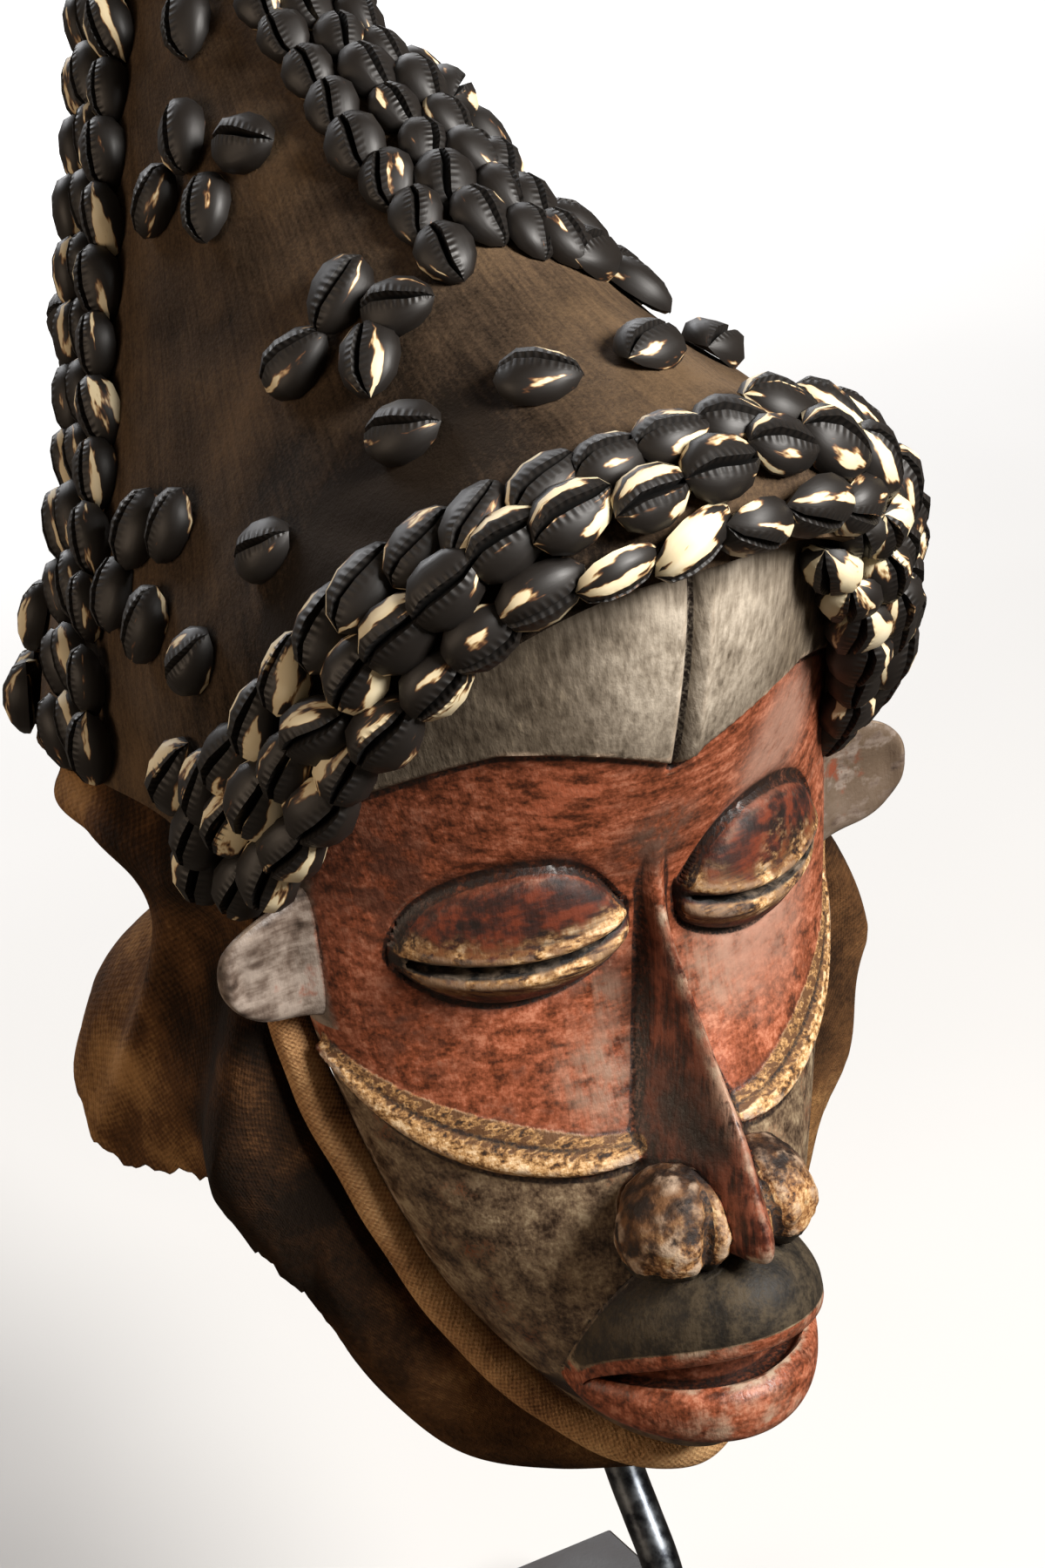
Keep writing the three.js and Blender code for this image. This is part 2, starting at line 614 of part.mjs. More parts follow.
// Neck cloth: hangs from inside the hood's rim and from the hem, open below, drawn in at the nape.
const CLOTH_TOP = [v3(0, -44, -180), v3(30, -24, -170), v3(53, -3, -150), v3(68, 10, -118), v3(82, 16, -80),
  v3(92, 20, -40), v3(91, 34, 2), v3(92, 62, 12), v3(90, 95, 10), v3(70, 128, 4), v3(0, 152, 0)];
const CLOTH_FOOT = [v3(0, -38, -190), v3(34, -16, -192), v3(60, 0, -184), v3(78, 5, -150), v3(94, 14, -112),
  v3(97, 44, -108), v3(98, 74, -116), v3(103, 112, -130), v3(108, 138, -112), v3(74, 150, -104), v3(0, 160, -102)];
const clothTop = new THREE.CatmullRomCurve3(CLOTH_TOP, false, 'catmullrom', 0.5);
const clothFoot = new THREE.CatmullRomCurve3(CLOTH_FOOT, false, 'catmullrom', 0.5);

function clothPoint(turn, fall, offset) {
  const full = Math.abs(turn);
  const top = clothTop.getPoint(full);
  const foot = clothFoot.getPoint(full);
  const point = top.clone().lerp(foot, fall);
  const away = v3(point.x, (point.y - 70) * 0.8, 0).normalize();
  const swell = CLOTH_BELLY + CLOTH_BULGE * Math.max(0, 1 - Math.abs(full - 0.5) / 0.12);
  const belly = swell * Math.sin(Math.PI * fall) * clamp(full * 4, 0, 1) * clamp((0.75 - full) * 5, 0, 1);
  point.addScaledVector(away, belly + offset);
  point.x *= turn < 0 ? -1 : 1;
  return point;
}

function cloth() {
  const around = 24;
  const down = 3;
  const points = [];
  for (let i = 0; i <= down; i += 1) {
    for (const offset of [0, CLOTH_THICKNESS]) {
      for (let j = 0; j < around; j += 1) {
        points.push(clothPoint(mix(-1, 1, j / around), i / down, offset));
      }
    }
  }
  const at = (i, layer, j) => (i * 2 + layer) * around + (j % around);
  const faces = [];
  for (let j = 0; j < around; j += 1) {
    for (let i = 0; i < down; i += 1) {
      faces.push([at(i, 1, j), at(i + 1, 1, j), at(i + 1, 1, j + 1)], [at(i, 1, j), at(i + 1, 1, j + 1), at(i, 1, j + 1)]);
      faces.push([at(i, 0, j), at(i + 1, 0, j + 1), at(i + 1, 0, j)], [at(i, 0, j), at(i, 0, j + 1), at(i + 1, 0, j + 1)]);
    }
    faces.push([at(0, 0, j), at(0, 1, j), at(0, 1, j + 1)], [at(0, 0, j), at(0, 1, j + 1), at(0, 0, j + 1)]);
    faces.push([at(down, 0, j), at(down, 1, j + 1), at(down, 1, j)], [at(down, 0, j), at(down, 0, j + 1), at(down, 1, j + 1)]);
  }
  return closed(points, faces);
}

// Stand: a block with eased edges, and a rod that bows forward and then up into the mask.
function block() {
  const outline = new THREE.Shape();
  const halfWidth = BLOCK_WIDTH / 2 - BLOCK_EDGE;
  const halfDepth = BLOCK_DEPTH / 2 - BLOCK_EDGE;
  outline.moveTo(-halfWidth, -halfDepth);
  outline.lineTo(halfWidth, -halfDepth);
  outline.lineTo(halfWidth, halfDepth);
  outline.lineTo(-halfWidth, halfDepth);
  outline.closePath();
  const body = new THREE.ExtrudeGeometry(outline, {
    depth: BLOCK_HEIGHT - 2 * BLOCK_EDGE, bevelEnabled: true, bevelThickness: BLOCK_EDGE,
    bevelSize: BLOCK_EDGE, bevelSegments: 1,
  });
  return body.translate(0, 0, BLOCK_EDGE);
}

const ROD_ROUTE = [[-66, BLOCK_HEIGHT + GAP], [-66, 43], [-76, 64], [-83, 90], [-82, 113], [-77, 134], [-68, 149],
  [-60, 162], [-44, 195], [-28, 245], [-18, 305], [-14, 375], [-20, 435], [-48, 478], [-96, 488], [-148, 474]];

function rod() {
  const route = new THREE.CatmullRomCurve3(ROD_ROUTE.map(([y, z]) => v3(0, y, z)), false, 'catmullrom', 0.5);
  const section = new THREE.Shape();
  section.absarc(0, 0, ROD_DIAMETER / 2, 0, 2 * Math.PI, false);
  const bar = new THREE.ExtrudeGeometry(section, {
    steps: ROD_STEPS, extrudePath: route, bevelEnabled: false, curveSegments: ROD_SIDES / 2,
  });
  const end = route.getPoint(1);
  const tangent = route.getTangent(1);
  const pad = new THREE.CylinderGeometry(PAD_DIAMETER / 2, PAD_DIAMETER / 2, PAD_THICKNESS, 14);
  pad.applyMatrix4(new THREE.Matrix4().compose(end, new THREE.Quaternion().setFromUnitVectors(v3(0, 1, 0), tangent),
    v3(1, 1, 1)));
  return geometryOf(fuse([solid(bar), solid(pad)]));
}

const group = new THREE.Group();
const mask = new THREE.Group();
mask.rotation.x = radians(MASK_LEAN);
mask.position.set(0, -MASK_FORWARD, MASK_HEIGHT);
group.add(mask);

function addPiece(parent, name, geometry, color, roughness, metalness = 0) {
  const material = new THREE.MeshStandardMaterial({ color, roughness, metalness });
  const mesh = new THREE.Mesh(geometry, material);
  mesh.name = name;
  parent.add(mesh);
}

const SHELL = 0x2b2724;
addPiece(group, 'base_block', block(), 0x2c2725, 0.5, 0.8);
addPiece(group, 'mount_rod', rod(), 0x3a3d3e, 0.35, 0.9);
addPiece(mask, 'carved_face', geometryOf(face()), 0x7a3b2a, 0.5);
addPiece(mask, 'hide_hood', hood(), 0x4a3a2d, 0.85);
addPiece(mask, 'brow_cowries', clearOfHood(browBand()), SHELL, 0.35);
addPiece(mask, 'crest_cowries', clearOfHood(crestBand()), SHELL, 0.35);
addPiece(mask, 'side_cowries_right', clearOfHood(sideBand(-1)), SHELL, 0.35);
addPiece(mask, 'side_cowries_left', clearOfHood(sideBand(1)), SHELL, 0.35);
addPiece(mask, 'nape_cowries', clearOfHood(rearBand()), SHELL, 0.35);
for (const [name, spots] of Object.entries(SEWN)) {
  spots.forEach((spot, i) => {
    const label = spots.length > 1 ? `cowrie_${name}_${i + 1}` : `cowrie_${name}`;
    addPiece(mask, `${label}_right`, clearOfHood(sewnCowrie(spot, -1)), SHELL, 0.35);
    addPiece(mask, `${label}_left`, clearOfHood(sewnCowrie(spot, 1)), SHELL, 0.35);
  });
}
addPiece(mask, 'rolled_hem', hem(), 0x6b4a2c, 0.95);
addPiece(mask, 'neck_cloth', cloth(), 0x5f4228, 0.95);

export default group;
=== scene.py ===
"""A carved wooden face mask under a cowrie-covered hide hood, dressed on its steel stand.

Shapes are worked out in millimetres in the mask's own upright frame, with its origin midway between the ears,
and seat() carries them to the stand's frame in metres. Right and left are the mask's own.
"""

import logging
import math
from dataclasses import dataclass, field
from enum import Enum
from typing import Any, Callable, ClassVar, Sequence

import bmesh
import bpy
import numpy as np
from mathutils import Matrix, Vector, noise


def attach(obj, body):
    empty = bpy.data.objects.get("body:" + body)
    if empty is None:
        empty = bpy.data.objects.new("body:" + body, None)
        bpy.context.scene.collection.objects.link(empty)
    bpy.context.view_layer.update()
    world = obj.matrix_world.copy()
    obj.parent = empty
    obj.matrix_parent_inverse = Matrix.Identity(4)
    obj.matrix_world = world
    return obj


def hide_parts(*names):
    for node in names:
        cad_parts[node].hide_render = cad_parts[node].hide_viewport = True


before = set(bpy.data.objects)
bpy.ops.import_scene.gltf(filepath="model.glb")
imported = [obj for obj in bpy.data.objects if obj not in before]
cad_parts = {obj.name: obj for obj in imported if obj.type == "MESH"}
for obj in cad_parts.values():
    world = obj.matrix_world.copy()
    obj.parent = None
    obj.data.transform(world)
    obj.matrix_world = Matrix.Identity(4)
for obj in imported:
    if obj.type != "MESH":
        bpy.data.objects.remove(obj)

log = logging.getLogger("mask")
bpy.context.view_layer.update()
MM = 0.001
LEAN = math.radians(8.3)  # how far the mask leans back on its rod
FORWARD = 78.0  # how far the middle of the ears stands in front of the block's middle
HEIGHT = 375.0  # and how high above the table
WELD = 0.01  # the longest gap that is closed where a bent grid meets itself
LIP_HALF = 38.0  # half the mouth's width

Array = np.ndarray
Mesh = bmesh.types.BMesh
Piece = bpy.types.Object
Finish = bpy.types.Material
Place = Callable[[Array, Array], Array]
Point = tuple[float, float, float]
Socket = bpy.types.NodeSocket
Tree = bpy.types.NodeTree
Stops = tuple[tuple[float, str], ...]


class Hand(Enum):
    """The mask's own right and left, as the sign of x."""

    RIGHT = -1
    LEFT = 1


class Carving(Enum):
    """What a closed shape does to the piece it is joined to."""

    ADD = "UNION"
    CUT = "DIFFERENCE"


def seat(points: Array) -> Array:
    """Carries points from the mask's own upright frame to the stand's frame.

    Args:
        points: rows of x, y, z in millimetres, origin midway between the ears.

    Returns:
        Rows of x, y, z in metres, origin under the block.
    """
    x, y, z = np.asarray(points, float).T
    c, s = math.cos(LEAN), math.sin(LEAN)
    return np.stack([x, c * y - s * z - FORWARD, s * y + c * z + HEIGHT], -1) * MM


def unseat(points: Array) -> Array:
    """Carries points from the stand's frame back to the mask's own frame.

    Args:
        points: rows of x, y, z in metres.

    Returns:
        Rows of x, y, z in millimetres.
    """
    x, y, z = (np.asarray(points, float) / MM).T
    c, s = math.cos(LEAN), math.sin(LEAN)
    y, z = y + FORWARD, z - HEIGHT
    return np.stack([x, c * y + s * z, c * z - s * y], -1)


def ease(value: Array) -> Array:
    """Smooth step from 0 to 1 as value goes from 0 to 1."""
    t = np.clip(value, 0, 1)
    return t * t * (3 - 2 * t)


def mix(a: Any, b: Any, share: Any) -> Any:
    """Value a share of the way from a to b."""
    return a + (b - a) * share


def hill(value: Array, width: float) -> Array:
    """Rounded bump of height 1 about 0 with that half width."""
    return np.exp(-(value / width) ** 2)


def cells(size: float) -> float:
    """Scale of a noise on Object coordinates whose cells are a size in millimetres wide."""
    return 1 / (size * MM)


class Stations:
    """A smooth line through measured stations."""

    def __init__(self, pairs: Sequence[tuple[float, float]]) -> None:
        """Keeps the stations and works out their slopes.

        Args:
            pairs: place and value of each station, places rising.
        """
        self.x, self.y = np.array(pairs, float).T
        rise = np.empty(len(self.x))
        rise[1:-1] = (self.y[2:] - self.y[:-2]) / (self.x[2:] - self.x[:-2])
        rise[0] = (self.y[1] - self.y[0]) / (self.x[1] - self.x[0])
        rise[-1] = (self.y[-1] - self.y[-2]) / (self.x[-1] - self.x[-2])
        self.rise = rise

    def at(self, place: Any) -> Array:
        """Value of the line at each place.

        Args:
            place: one number or an array.

        Returns:
            The smooth values there.
        """
        place = np.asarray(place, float)
        i = np.clip(np.searchsorted(self.x, place) - 1, 0, len(self.x) - 2)
        span = self.x[i + 1] - self.x[i]
        t = np.clip((place - self.x[i]) / span, 0, 1)
        return ((2 * t**3 - 3 * t**2 + 1) * self.y[i] + (t**3 - 2 * t**2 + t) * span * self.rise[i]
                + (3 * t**2 - 2 * t**3) * self.y[i + 1] + (t**3 - t**2) * span * self.rise[i + 1])


def through(points: Array, share: Array) -> Array:
    """Points of a smooth open curve through control points.

    Args:
        points: control points, (count, 3), or (count, many, 3) for one curve per sample.
        share: place along each curve, 0 to 1, one per sample.

    Returns:
        One point per sample.
    """
    points = np.asarray(points, float)
    if points.ndim == 2:
        points = np.repeat(points[:, None, :], len(share), 1)
    count = len(points)
    ends = np.concatenate([2 * points[:1] - points[1:2], points, 2 * points[-1:] - points[-2:-1]])
    at = np.clip(share, 0, 1) * (count - 1)
    i = np.minimum(at.astype(int), count - 2)
    w = (at - i)[:, None]
    row = np.arange(len(share))
    a, b, c, d = (ends[i + k, row] for k in range(4))
    t0, t1 = (c - a) / 2, (d - b) / 2
    return b + t0 * w + (-3 * b + 3 * c - 2 * t0 - t1) * w**2 + (2 * b - 2 * c + t0 + t1) * w**3


def linear(code: str) -> tuple[float, float, float, float]:
    """Linear colour of an sRGB hex code.

    Args:
        code: six hex digits.

    Returns:
        Red, green, blue and alpha for a node socket.
    """
    parts = [int(code[i:i + 2], 16) / 255 for i in (0, 2, 4)]
    red, green, blue = (p / 12.92 if p <= 0.04045 else ((p + 0.055) / 1.055) ** 2.4 for p in parts)
    return red, green, blue, 1.0


def add(tree: Tree, kind: str, settings: dict[str, Any] | None = None,
        links: dict[Any, Any] | None = None) -> bpy.types.Node:
    """Adds a node with its settings and links.

    Args:
        tree: the node tree.
        kind: the node's type name after ShaderNode.
        settings: its settings, as fill() takes them.
        links: its links, as fill() takes them.

    Returns:
        The new node.
    """
    node = tree.nodes.new("ShaderNode" + kind)
    fill(tree, node, settings or {}, links or {})
    return node


def fill(tree: Tree, node: bpy.types.Node, settings: dict[str, Any], links: dict[Any, Any]) -> None:
    """Gives a node its settings and links.

    Args:
        tree: the node tree.
        node: the node.
        settings: properties and socket values; "stops" fills a colour ramp.
        links: source for each input, by name or number; a node stands for its first output.
    """
    for key, value in settings.items():
        if key == "stops":
            ramp = node.color_ramp.elements
            while len(ramp) < len(value):
                ramp.new(0.5)
            for element, (place, shade) in zip(ramp, value):
                element.position = place
                element.color = linear(shade) if isinstance(shade, str) else (shade, shade, shade, 1)
        elif key in node.bl_rna.properties:
            setattr(node, key, value)
        else:
            node.inputs[int(key) if key.isdigit() else key].default_value = value
    for key, source in links.items():
        tree.links.new(source.outputs[0] if isinstance(source, bpy.types.Node) else source, node.inputs[key])


def blank_material(name: str) -> tuple[Finish, Tree, bpy.types.Node]:
    """Starts a node material.

    Args:
        name: the finish's name.

    Returns:
        The material, its tree and its surface shader.
    """
    material = bpy.data.materials.new(name)
    material.use_nodes = True
    tree = material.node_tree
    return material, tree, tree.nodes["Principled BSDF"]


def bend_grid(columns: int, rows: int, place: Place, seated: bool = True) -> Mesh:
    """Bends a flat grid to a shape.

    Args:
        columns: faces along u.
        rows: faces along v.
        place: gives the points, in millimetres, for arrays of u and v from 0 to 1.
        seated: True where the points are in the mask's own frame.

    Returns:
        The bent grid, with a UV map of u and v.
    """
    shape = bmesh.new()
    shape.loops.layers.uv.new("UVMap")
    bmesh.ops.create_grid(shape, x_segments=columns, y_segments=rows, size=1.0, calc_uvs=True)
    flat = (np.array([v.co for v in shape.verts])[:, :2] + 1) / 2
    points = place(flat[:, 0], flat[:, 1])
    points = seat(points) if seated else points * MM
    for vert, point in zip(shape.verts, points):
        vert.co = point
    return shape


def close_up(shape: Mesh) -> Mesh:
    """Welds a bent grid's seam, closes its ends and turns its faces outward.

    Args:
        shape: the bent grid.

    Returns:
        The same mesh, closed.
    """
    bmesh.ops.remove_doubles(shape, verts=shape.verts, dist=WELD * MM)
    open_edges = [e for e in shape.edges if e.is_boundary]
    if open_edges:
        bmesh.ops.holes_fill(shape, edges=open_edges, sides=0)
    bmesh.ops.recalc_face_normals(shape, faces=shape.faces)
    return shape


def make_object(shape: Mesh, name: str, material: Finish | None = None,
                sharp: float = 45.0) -> Piece:
    """Turns a bmesh into an object in the scene.

    Args:
        shape: the mesh, which is freed.
        name: the object's name.
        material: its finish.
        sharp: edges that turn more than this many degrees stay crisp.

    Returns:
        The new object.
    """
    mesh = bpy.data.meshes.new(name)
    shape.to_mesh(mesh)
    shape.free()
    piece = bpy.data.objects.new(name, mesh)
    bpy.context.scene.collection.objects.link(piece)
    smooth(piece, sharp)
    if material:
        mesh.materials.append(material)
    return piece


def smooth(piece: Piece, sharp: float) -> None:
    """Shades a piece smooth, except over edges that turn more than sharp degrees."""
    piece.data.shade_smooth()
    piece.data.set_sharp_from_angle(angle=math.radians(sharp))


def settle(piece: Piece) -> None:
    """Makes a piece's modifiers part of its mesh.

    Args:
        piece: the piece.
    """
    graph = bpy.context.evaluated_depsgraph_get()
    mesh = bpy.data.meshes.new_from_object(piece.evaluated_get(graph))
    piece.modifiers.clear()
    piece.data = mesh


def carve(piece: Piece, tool: Piece, work: Carving) -> None:
    """Joins a tool to a piece or cuts it away, and removes the tool.

    Args:
        piece: the piece.
        tool: the closed shape.
        work: whether the tool is added or cut away.
    """
    modifier = piece.modifiers.new("Carve", "BOOLEAN")
    modifier.operation = work.value
    modifier.solver = "MANIFOLD"
    modifier.object = tool
    settle(piece)
    bpy.data.objects.remove(tool)


def vertex_array(piece: Piece) -> Array:
    """Vertex places of a piece, in metres.

    Args:
        piece: the piece.

    Returns:
        One row of x, y, z for each vertex.
    """
    places = np.empty(len(piece.data.vertices) * 3)
    piece.data.vertices.foreach_get("co", places)
    return places.reshape(-1, 3)


def keep_values(piece: Piece, values: dict[str, Array]) -> None:
    """Stores one number per vertex under each name, for a finish to read.

    Args:
        piece: the piece.
        values: the numbers by name, one for each vertex.
    """
    for name, numbers in values.items():
        layer = piece.data.attributes.new(name, "FLOAT", "POINT")
        layer.data.foreach_set("value", np.asarray(numbers, np.float32))


def proud_and_sunk(piece: Piece) -> Array:
    """How far each vertex stands proud of its neighbours, in millimetres, minus where it lies deeper.

    Args:
        piece: the piece.

    Returns:
        One number per vertex, evened out over the near neighbours.
    """
    mesh = piece.data
    points = vertex_array(piece) / MM
    pairs = np.empty(len(mesh.edges) * 2, np.int64)
    mesh.edges.foreach_get("vertices", pairs)
    a, b = pairs.reshape(-1, 2).T
    normals = np.empty(len(points) * 3)
    mesh.vertices.foreach_get("normal", normals)
    normals = normals.reshape(-1, 3)
    count = np.bincount(a, minlength=len(points)) + np.bincount(b, minlength=len(points))
    count = np.maximum(count, 1)

    def around(values: Array) -> Array:
        """Mean over each vertex's neighbours."""
        total = np.bincount(a, values[b], len(points)) + np.bincount(b, values[a], len(points))
        return total / count

    middle = np.stack([around(points[:, k]) for k in range(3)], -1)
    proud = ((points - middle) * normals).sum(-1)
    for _ in range(3):  # evens it out over about three faces
        proud = (proud + around(proud)) / 2
    return proud


def ripple(points: Array, size: float, octaves: int = 3) -> Array:
    """Uneven hand-made ripple between about -1 and 1.

    Args:
        points: places in millimetres.
        size: the ripple's width in millimetres.
        octaves: how many finer ripples are added.

    Returns:
        One number per place.
    """
    return np.array([noise.fractal(Vector(p) / size, 1.0, 2.0, octaves) for p in points])


@dataclass(frozen=True)
class FaceForm:
    """The carved face's shape, in millimetres in the mask's own frame.

    The stations give, by height, how far the wood's front, half width and rim stand out, the nose's ridge and how
    steep its sides are. The cheek's rows give x, half width and z along one crescent.
    """

    front: ClassVar[Stations] = Stations([
        (-169, 62), (-161, 76), (-140, 86), (-105, 82), (-66, 68), (-25, 51), (12, 50), (36, 58),
        (60, 67), (96, 77), (122, 80), (134, 76), (143, 66)])
    half: ClassVar[Stations] = Stations([
        (-169, 11), (-161, 24), (-148, 37), (-121, 54), (-86, 67), (-54, 76), (-20, 83), (20, 85),
        (60, 84), (96, 76), (118, 63), (134, 46), (143, 26)])
    rim: ClassVar[Stations] = Stations([
        (-169, -54), (-161, -42), (-148, -26), (-121, -13), (-86, -7), (-54, -3), (-20, 1), (20, 3),
        (60, 2), (96, -10), (118, -26), (134, -42), (143, -54)])
    ridge: ClassVar[Stations] = Stations([
        (-82, 104), (-79, 105.5), (-74, 106.5), (-60, 101), (-45, 94), (-30, 83), (-15, 72), (2, 59.8),
        (13, 55.4), (24, 54.6), (34, 55.5), (46, 56)])
    flank: ClassVar[Stations] = Stations([
        (-90, 2.4), (-70, 2.5), (-55, 2.7), (-33, 4.2), (-16, 5.2), (2, 3.4), (14, 2.0), (36, 1.4)])
    cheek: ClassVar[Array] = np.array([
        (82, 1.5, -30), (79, 3.2, -35.5), (74.5, 5.0, -42), (68, 6.7, -48.5), (60, 7.6, -53.5),
        (50, 7.8, -57), (38, 6.9, -59), (26, 5.3, -59.5), (12, 3.2, -58)], float)
    flattened: float = 0.07
    brow_height: float = 59.0
    brow_arch: float = 12.0
    brow_half: float = 78.0
    brow_drop: float = 10.0
    forehead_step: float = 2.6
    groove_depth: float = 3.0
    groove_top: float = 150.0
    eye_start: float = 8.0
    eye_length: float = 59.0
    slit_ends: tuple[float, float] = (9.0, 1.0)
    slit_sag: float = 3.0
    slit_half: tuple[float, float] = (1.2, 3.1)
    upper_lid: float = 26.8
    lower_lid: float = 16.0
    upper_dome: float = 12.5
    lower_dome: float = 10.5
    lid_gutter: float = 1.3
    nose_top: float = 28.0
    nose_length: float = 107.0
    nose_foot: float = -79.0
    band_height: float = 2.9
    cheek_steps: int = 140
    cheek_reach: float = 13.0
    far_off: float = 60.0  # stands for the distance of places that lie near no crescent

    def brow(self, x: Array) -> Array:
        """Height of the brow line.

        Args:
            x: distances from the middle.

        Returns:
            The heights.
        """
        x = np.abs(x)
        arch = self.brow_arch * np.sin(np.pi * np.clip(x / self.brow_half, 0, 1)) ** 0.8
        return self.brow_height + arch - self.brow_drop * np.clip((x - 45) / 35, 0, 1)

    def point(self, angle: Array, z: Array, proud: Any = 0.0) -> Array:
        """Point of the plain face, turned from the middle by angle, raised by proud.

        Args:
            angle: turn from the middle, in radians.
            z: height.
            proud: how far the skin is raised.

        Returns:
            Points in the mask's frame.
        """
        front, half, rim = self.front.at(z) + proud, self.half.at(z) + proud, self.rim.at(z)
        flat = 1 - self.flattened * np.sin(2 * angle) ** 2
        return np.stack([half * np.sin(angle) * flat, rim - (front + rim) * np.cos(angle) * flat,
                         np.broadcast_to(z, np.shape(angle))], -1)

    def depth(self, x: Array, z: Array) -> Array:
        """Depth of the plain face straight behind x and z.

        Args:
            x: distance from the middle.
            z: height.

        Returns:
            The y of the plain face there.
        """
        half = self.half.at(z)
        angle = np.arcsin(np.clip(x / half, -0.995, 0.995))
        for _ in range(4):
            flat = 1 - self.flattened * np.sin(2 * angle) ** 2
            angle = np.arcsin(np.clip(x / half / flat, -0.995, 0.995))
        return self.point(angle, z)[:, 1]

    def lens(self, x: Array) -> tuple[Array, Array, Array]:
        """The eye at a distance from the middle.

        Args:
            x: distances from the middle.

        Returns:
            The share along the slit from its inner end, the lids' swell there and the slit's height.
        """
        share = (np.abs(x) - self.eye_start) / self.eye_length
        inside = np.clip(share, 0, 1)
        swell = np.sqrt(np.clip(1 - (2 * inside - 1) ** 2, 0, 1))
        return share, swell, mix(*self.slit_ends, inside) - self.slit_sag * np.sin(np.pi * inside)

    def gap(self, x: Array) -> Array:
        """Half the height of the open slit, widest toward the eye's outer end."""
        share, swell, _ = self.lens(x)
        return 0.3 + mix(*self.slit_half, np.clip(share, 0, 1)) * swell**0.6

    def lid(self, x: Array, z: Array) -> tuple[Array, Array]:
        """The lids at a place on the face.

        Args:
            x: distance from the middle.
            z: height.

        Returns:
            How far the lids raise the face, and how far out from the slit the place lies, 1 at the lid's edge.
        """
        share, swell, slit = self.lens(x)
        above = self.upper_lid * swell ** mix(1.8, 0.95, np.clip(share, 0, 1)) + 0.01
        below = self.lower_lid * swell ** mix(0.45, 1.3, np.clip(share, 0, 1)) + 0.01
        rise = z - slit
        out = np.where(rise > 0, rise / above, -rise / below)
        out = np.where((share < 0) | (share > 1), 1 + np.maximum(-share, share - 1) * 8 + np.abs(rise) / 20, out)
        full = np.clip(1 - out**2, 0, 1) ** 0.62
        dome = np.where(rise > 0, self.upper_dome, self.lower_dome) * swell**0.7 * full
        on_lid = out < 1
        rims = 1.5 * hill(rise - 4.4, 1.9) + 1.6 * hill(rise + 5.2, 2.2) - 3.2 * hill(rise, 1.9)
        dome += np.where(on_lid, swell**0.5 * rims, 0)
        dome -= self.lid_gutter * hill(out - 1.08, 0.13) * ease((0.66 - np.abs(share - 0.5)) / 0.1)
        return dome, out

    def nose(self, x: Array, z: Array) -> tuple[Array, Array]:
        """Depth of the nose wedge and its steepness.

        Args:
            x: distance from the middle.
            z: height.

        Returns:
            The y of the wedge, and how steep its sides are.
        """
        share = np.clip((self.nose_top - z) / self.nose_length, 0, 1)
        steep = self.flank.at(z)
        round_half = mix(1.5, 4.4, share**2) + 1.6 * ease((z - 2) / 14)
        across = np.abs(x)
        off = np.where(across < round_half, x**2 / (2 * round_half), across - round_half / 2)
        undercut = 7 * np.clip(self.nose_foot - z, 0, None) + 3 * np.clip(z - 30, 0, None)
        return -self.ridge.at(z) + steep * off + undercut, steep

    def crescent(self, hand: Hand) -> tuple[Array, Array]:
        """Middle line and half width of one cheek crescent."""
        x, half, z = through(self.cheek, np.linspace(0, 1, self.cheek_steps)).T
        return np.stack([hand.value * x, self.depth(x, z), z], -1), half

    def crescent_place(self, points: Array) -> tuple[Array, Array, Array]:
        """Where points lie against the nearer cheek crescent.

        Args:
            points: places on the face.

        Returns:
            Distance above its middle line, its half width there, and the share along it.
        """
        above, width, along = np.full(len(points), self.far_off), np.ones(len(points)), np.zeros(len(points))
        for hand in Hand:
            line, half = self.crescent(hand)
            near = np.nonzero((points[:, 0] * hand.value > -2) & (points[:, 2] < 20))[0]
            here = points[near]
            span = (here**2).sum(1)[:, None] + (line**2).sum(1)[None] - 2 * here @ line.T
            best = span.argmin(1)
            away = np.sqrt(np.clip(span[np.arange(len(near)), best], 0, None))
            above[near] = away * np.sign(here[:, 2] - line[best, 2])
            width[near] = half[best]
            along[near] = best / (len(line) - 1)
        return above, width, along

    def proud(self, points: Array) -> Array:
        """How far the brow, groove, rib and crescents raise the plain face.

        Args:
            points: places on the plain face.

        Returns:
            The raise at each place.
        """
        x, _, z = points.T
        raised = self.forehead_step * ease((z - self.brow(x)) / 1.8 + 0.5)
        length = ease((z - 56) / 4) * ease((self.groove_top - z) / 8)
        raised += length * (-self.groove_depth * hill(x + 0.6, 1.5) + 1.1 * hill(x - 4.2, 1.7))
        above, width, along = self.crescent_place(points)
        t = above / width
        ends = ease(along / 0.05) * ease((1 - along) / 0.05)
        band = self.band_height * ease((1.05 - t) / 1.45) * ease((t + 1.12) / 0.55)
        band += 0.4 * ease((1.1 - np.abs(t)) / 0.2)  # a crisp edge
        band -= 0.7 * hill(t - 0.3, 0.16) + 0.35 * hill(t + 0.22, 0.1)  # two grooves along it
        return raised + band * mix(0.4, 1, ends) * (np.abs(above) < self.cheek_reach)


def lip_share(x: Array) -> Array:
    """Fullness of the lips at a distance from the middle: 1 in the middle, 0 at the corners."""
    return np.sqrt(np.clip(1 - (np.abs(x) / LIP_HALF) ** 2, 0, 1))


def lip_line(x: Array) -> Array:
    """Height of the upper lip's lower edge."""
    return mix(-134.0, -112.5, lip_share(x))


def rounded(turn: Array, power: Any) -> tuple[Array, Array]:
    """Across and up on a rounded square at an angle; a smaller power is squarer."""
    across, up = np.cos(turn), np.sin(turn)
    return np.sign(across) * np.abs(across) ** power, np.sign(up) * np.abs(up) ** power


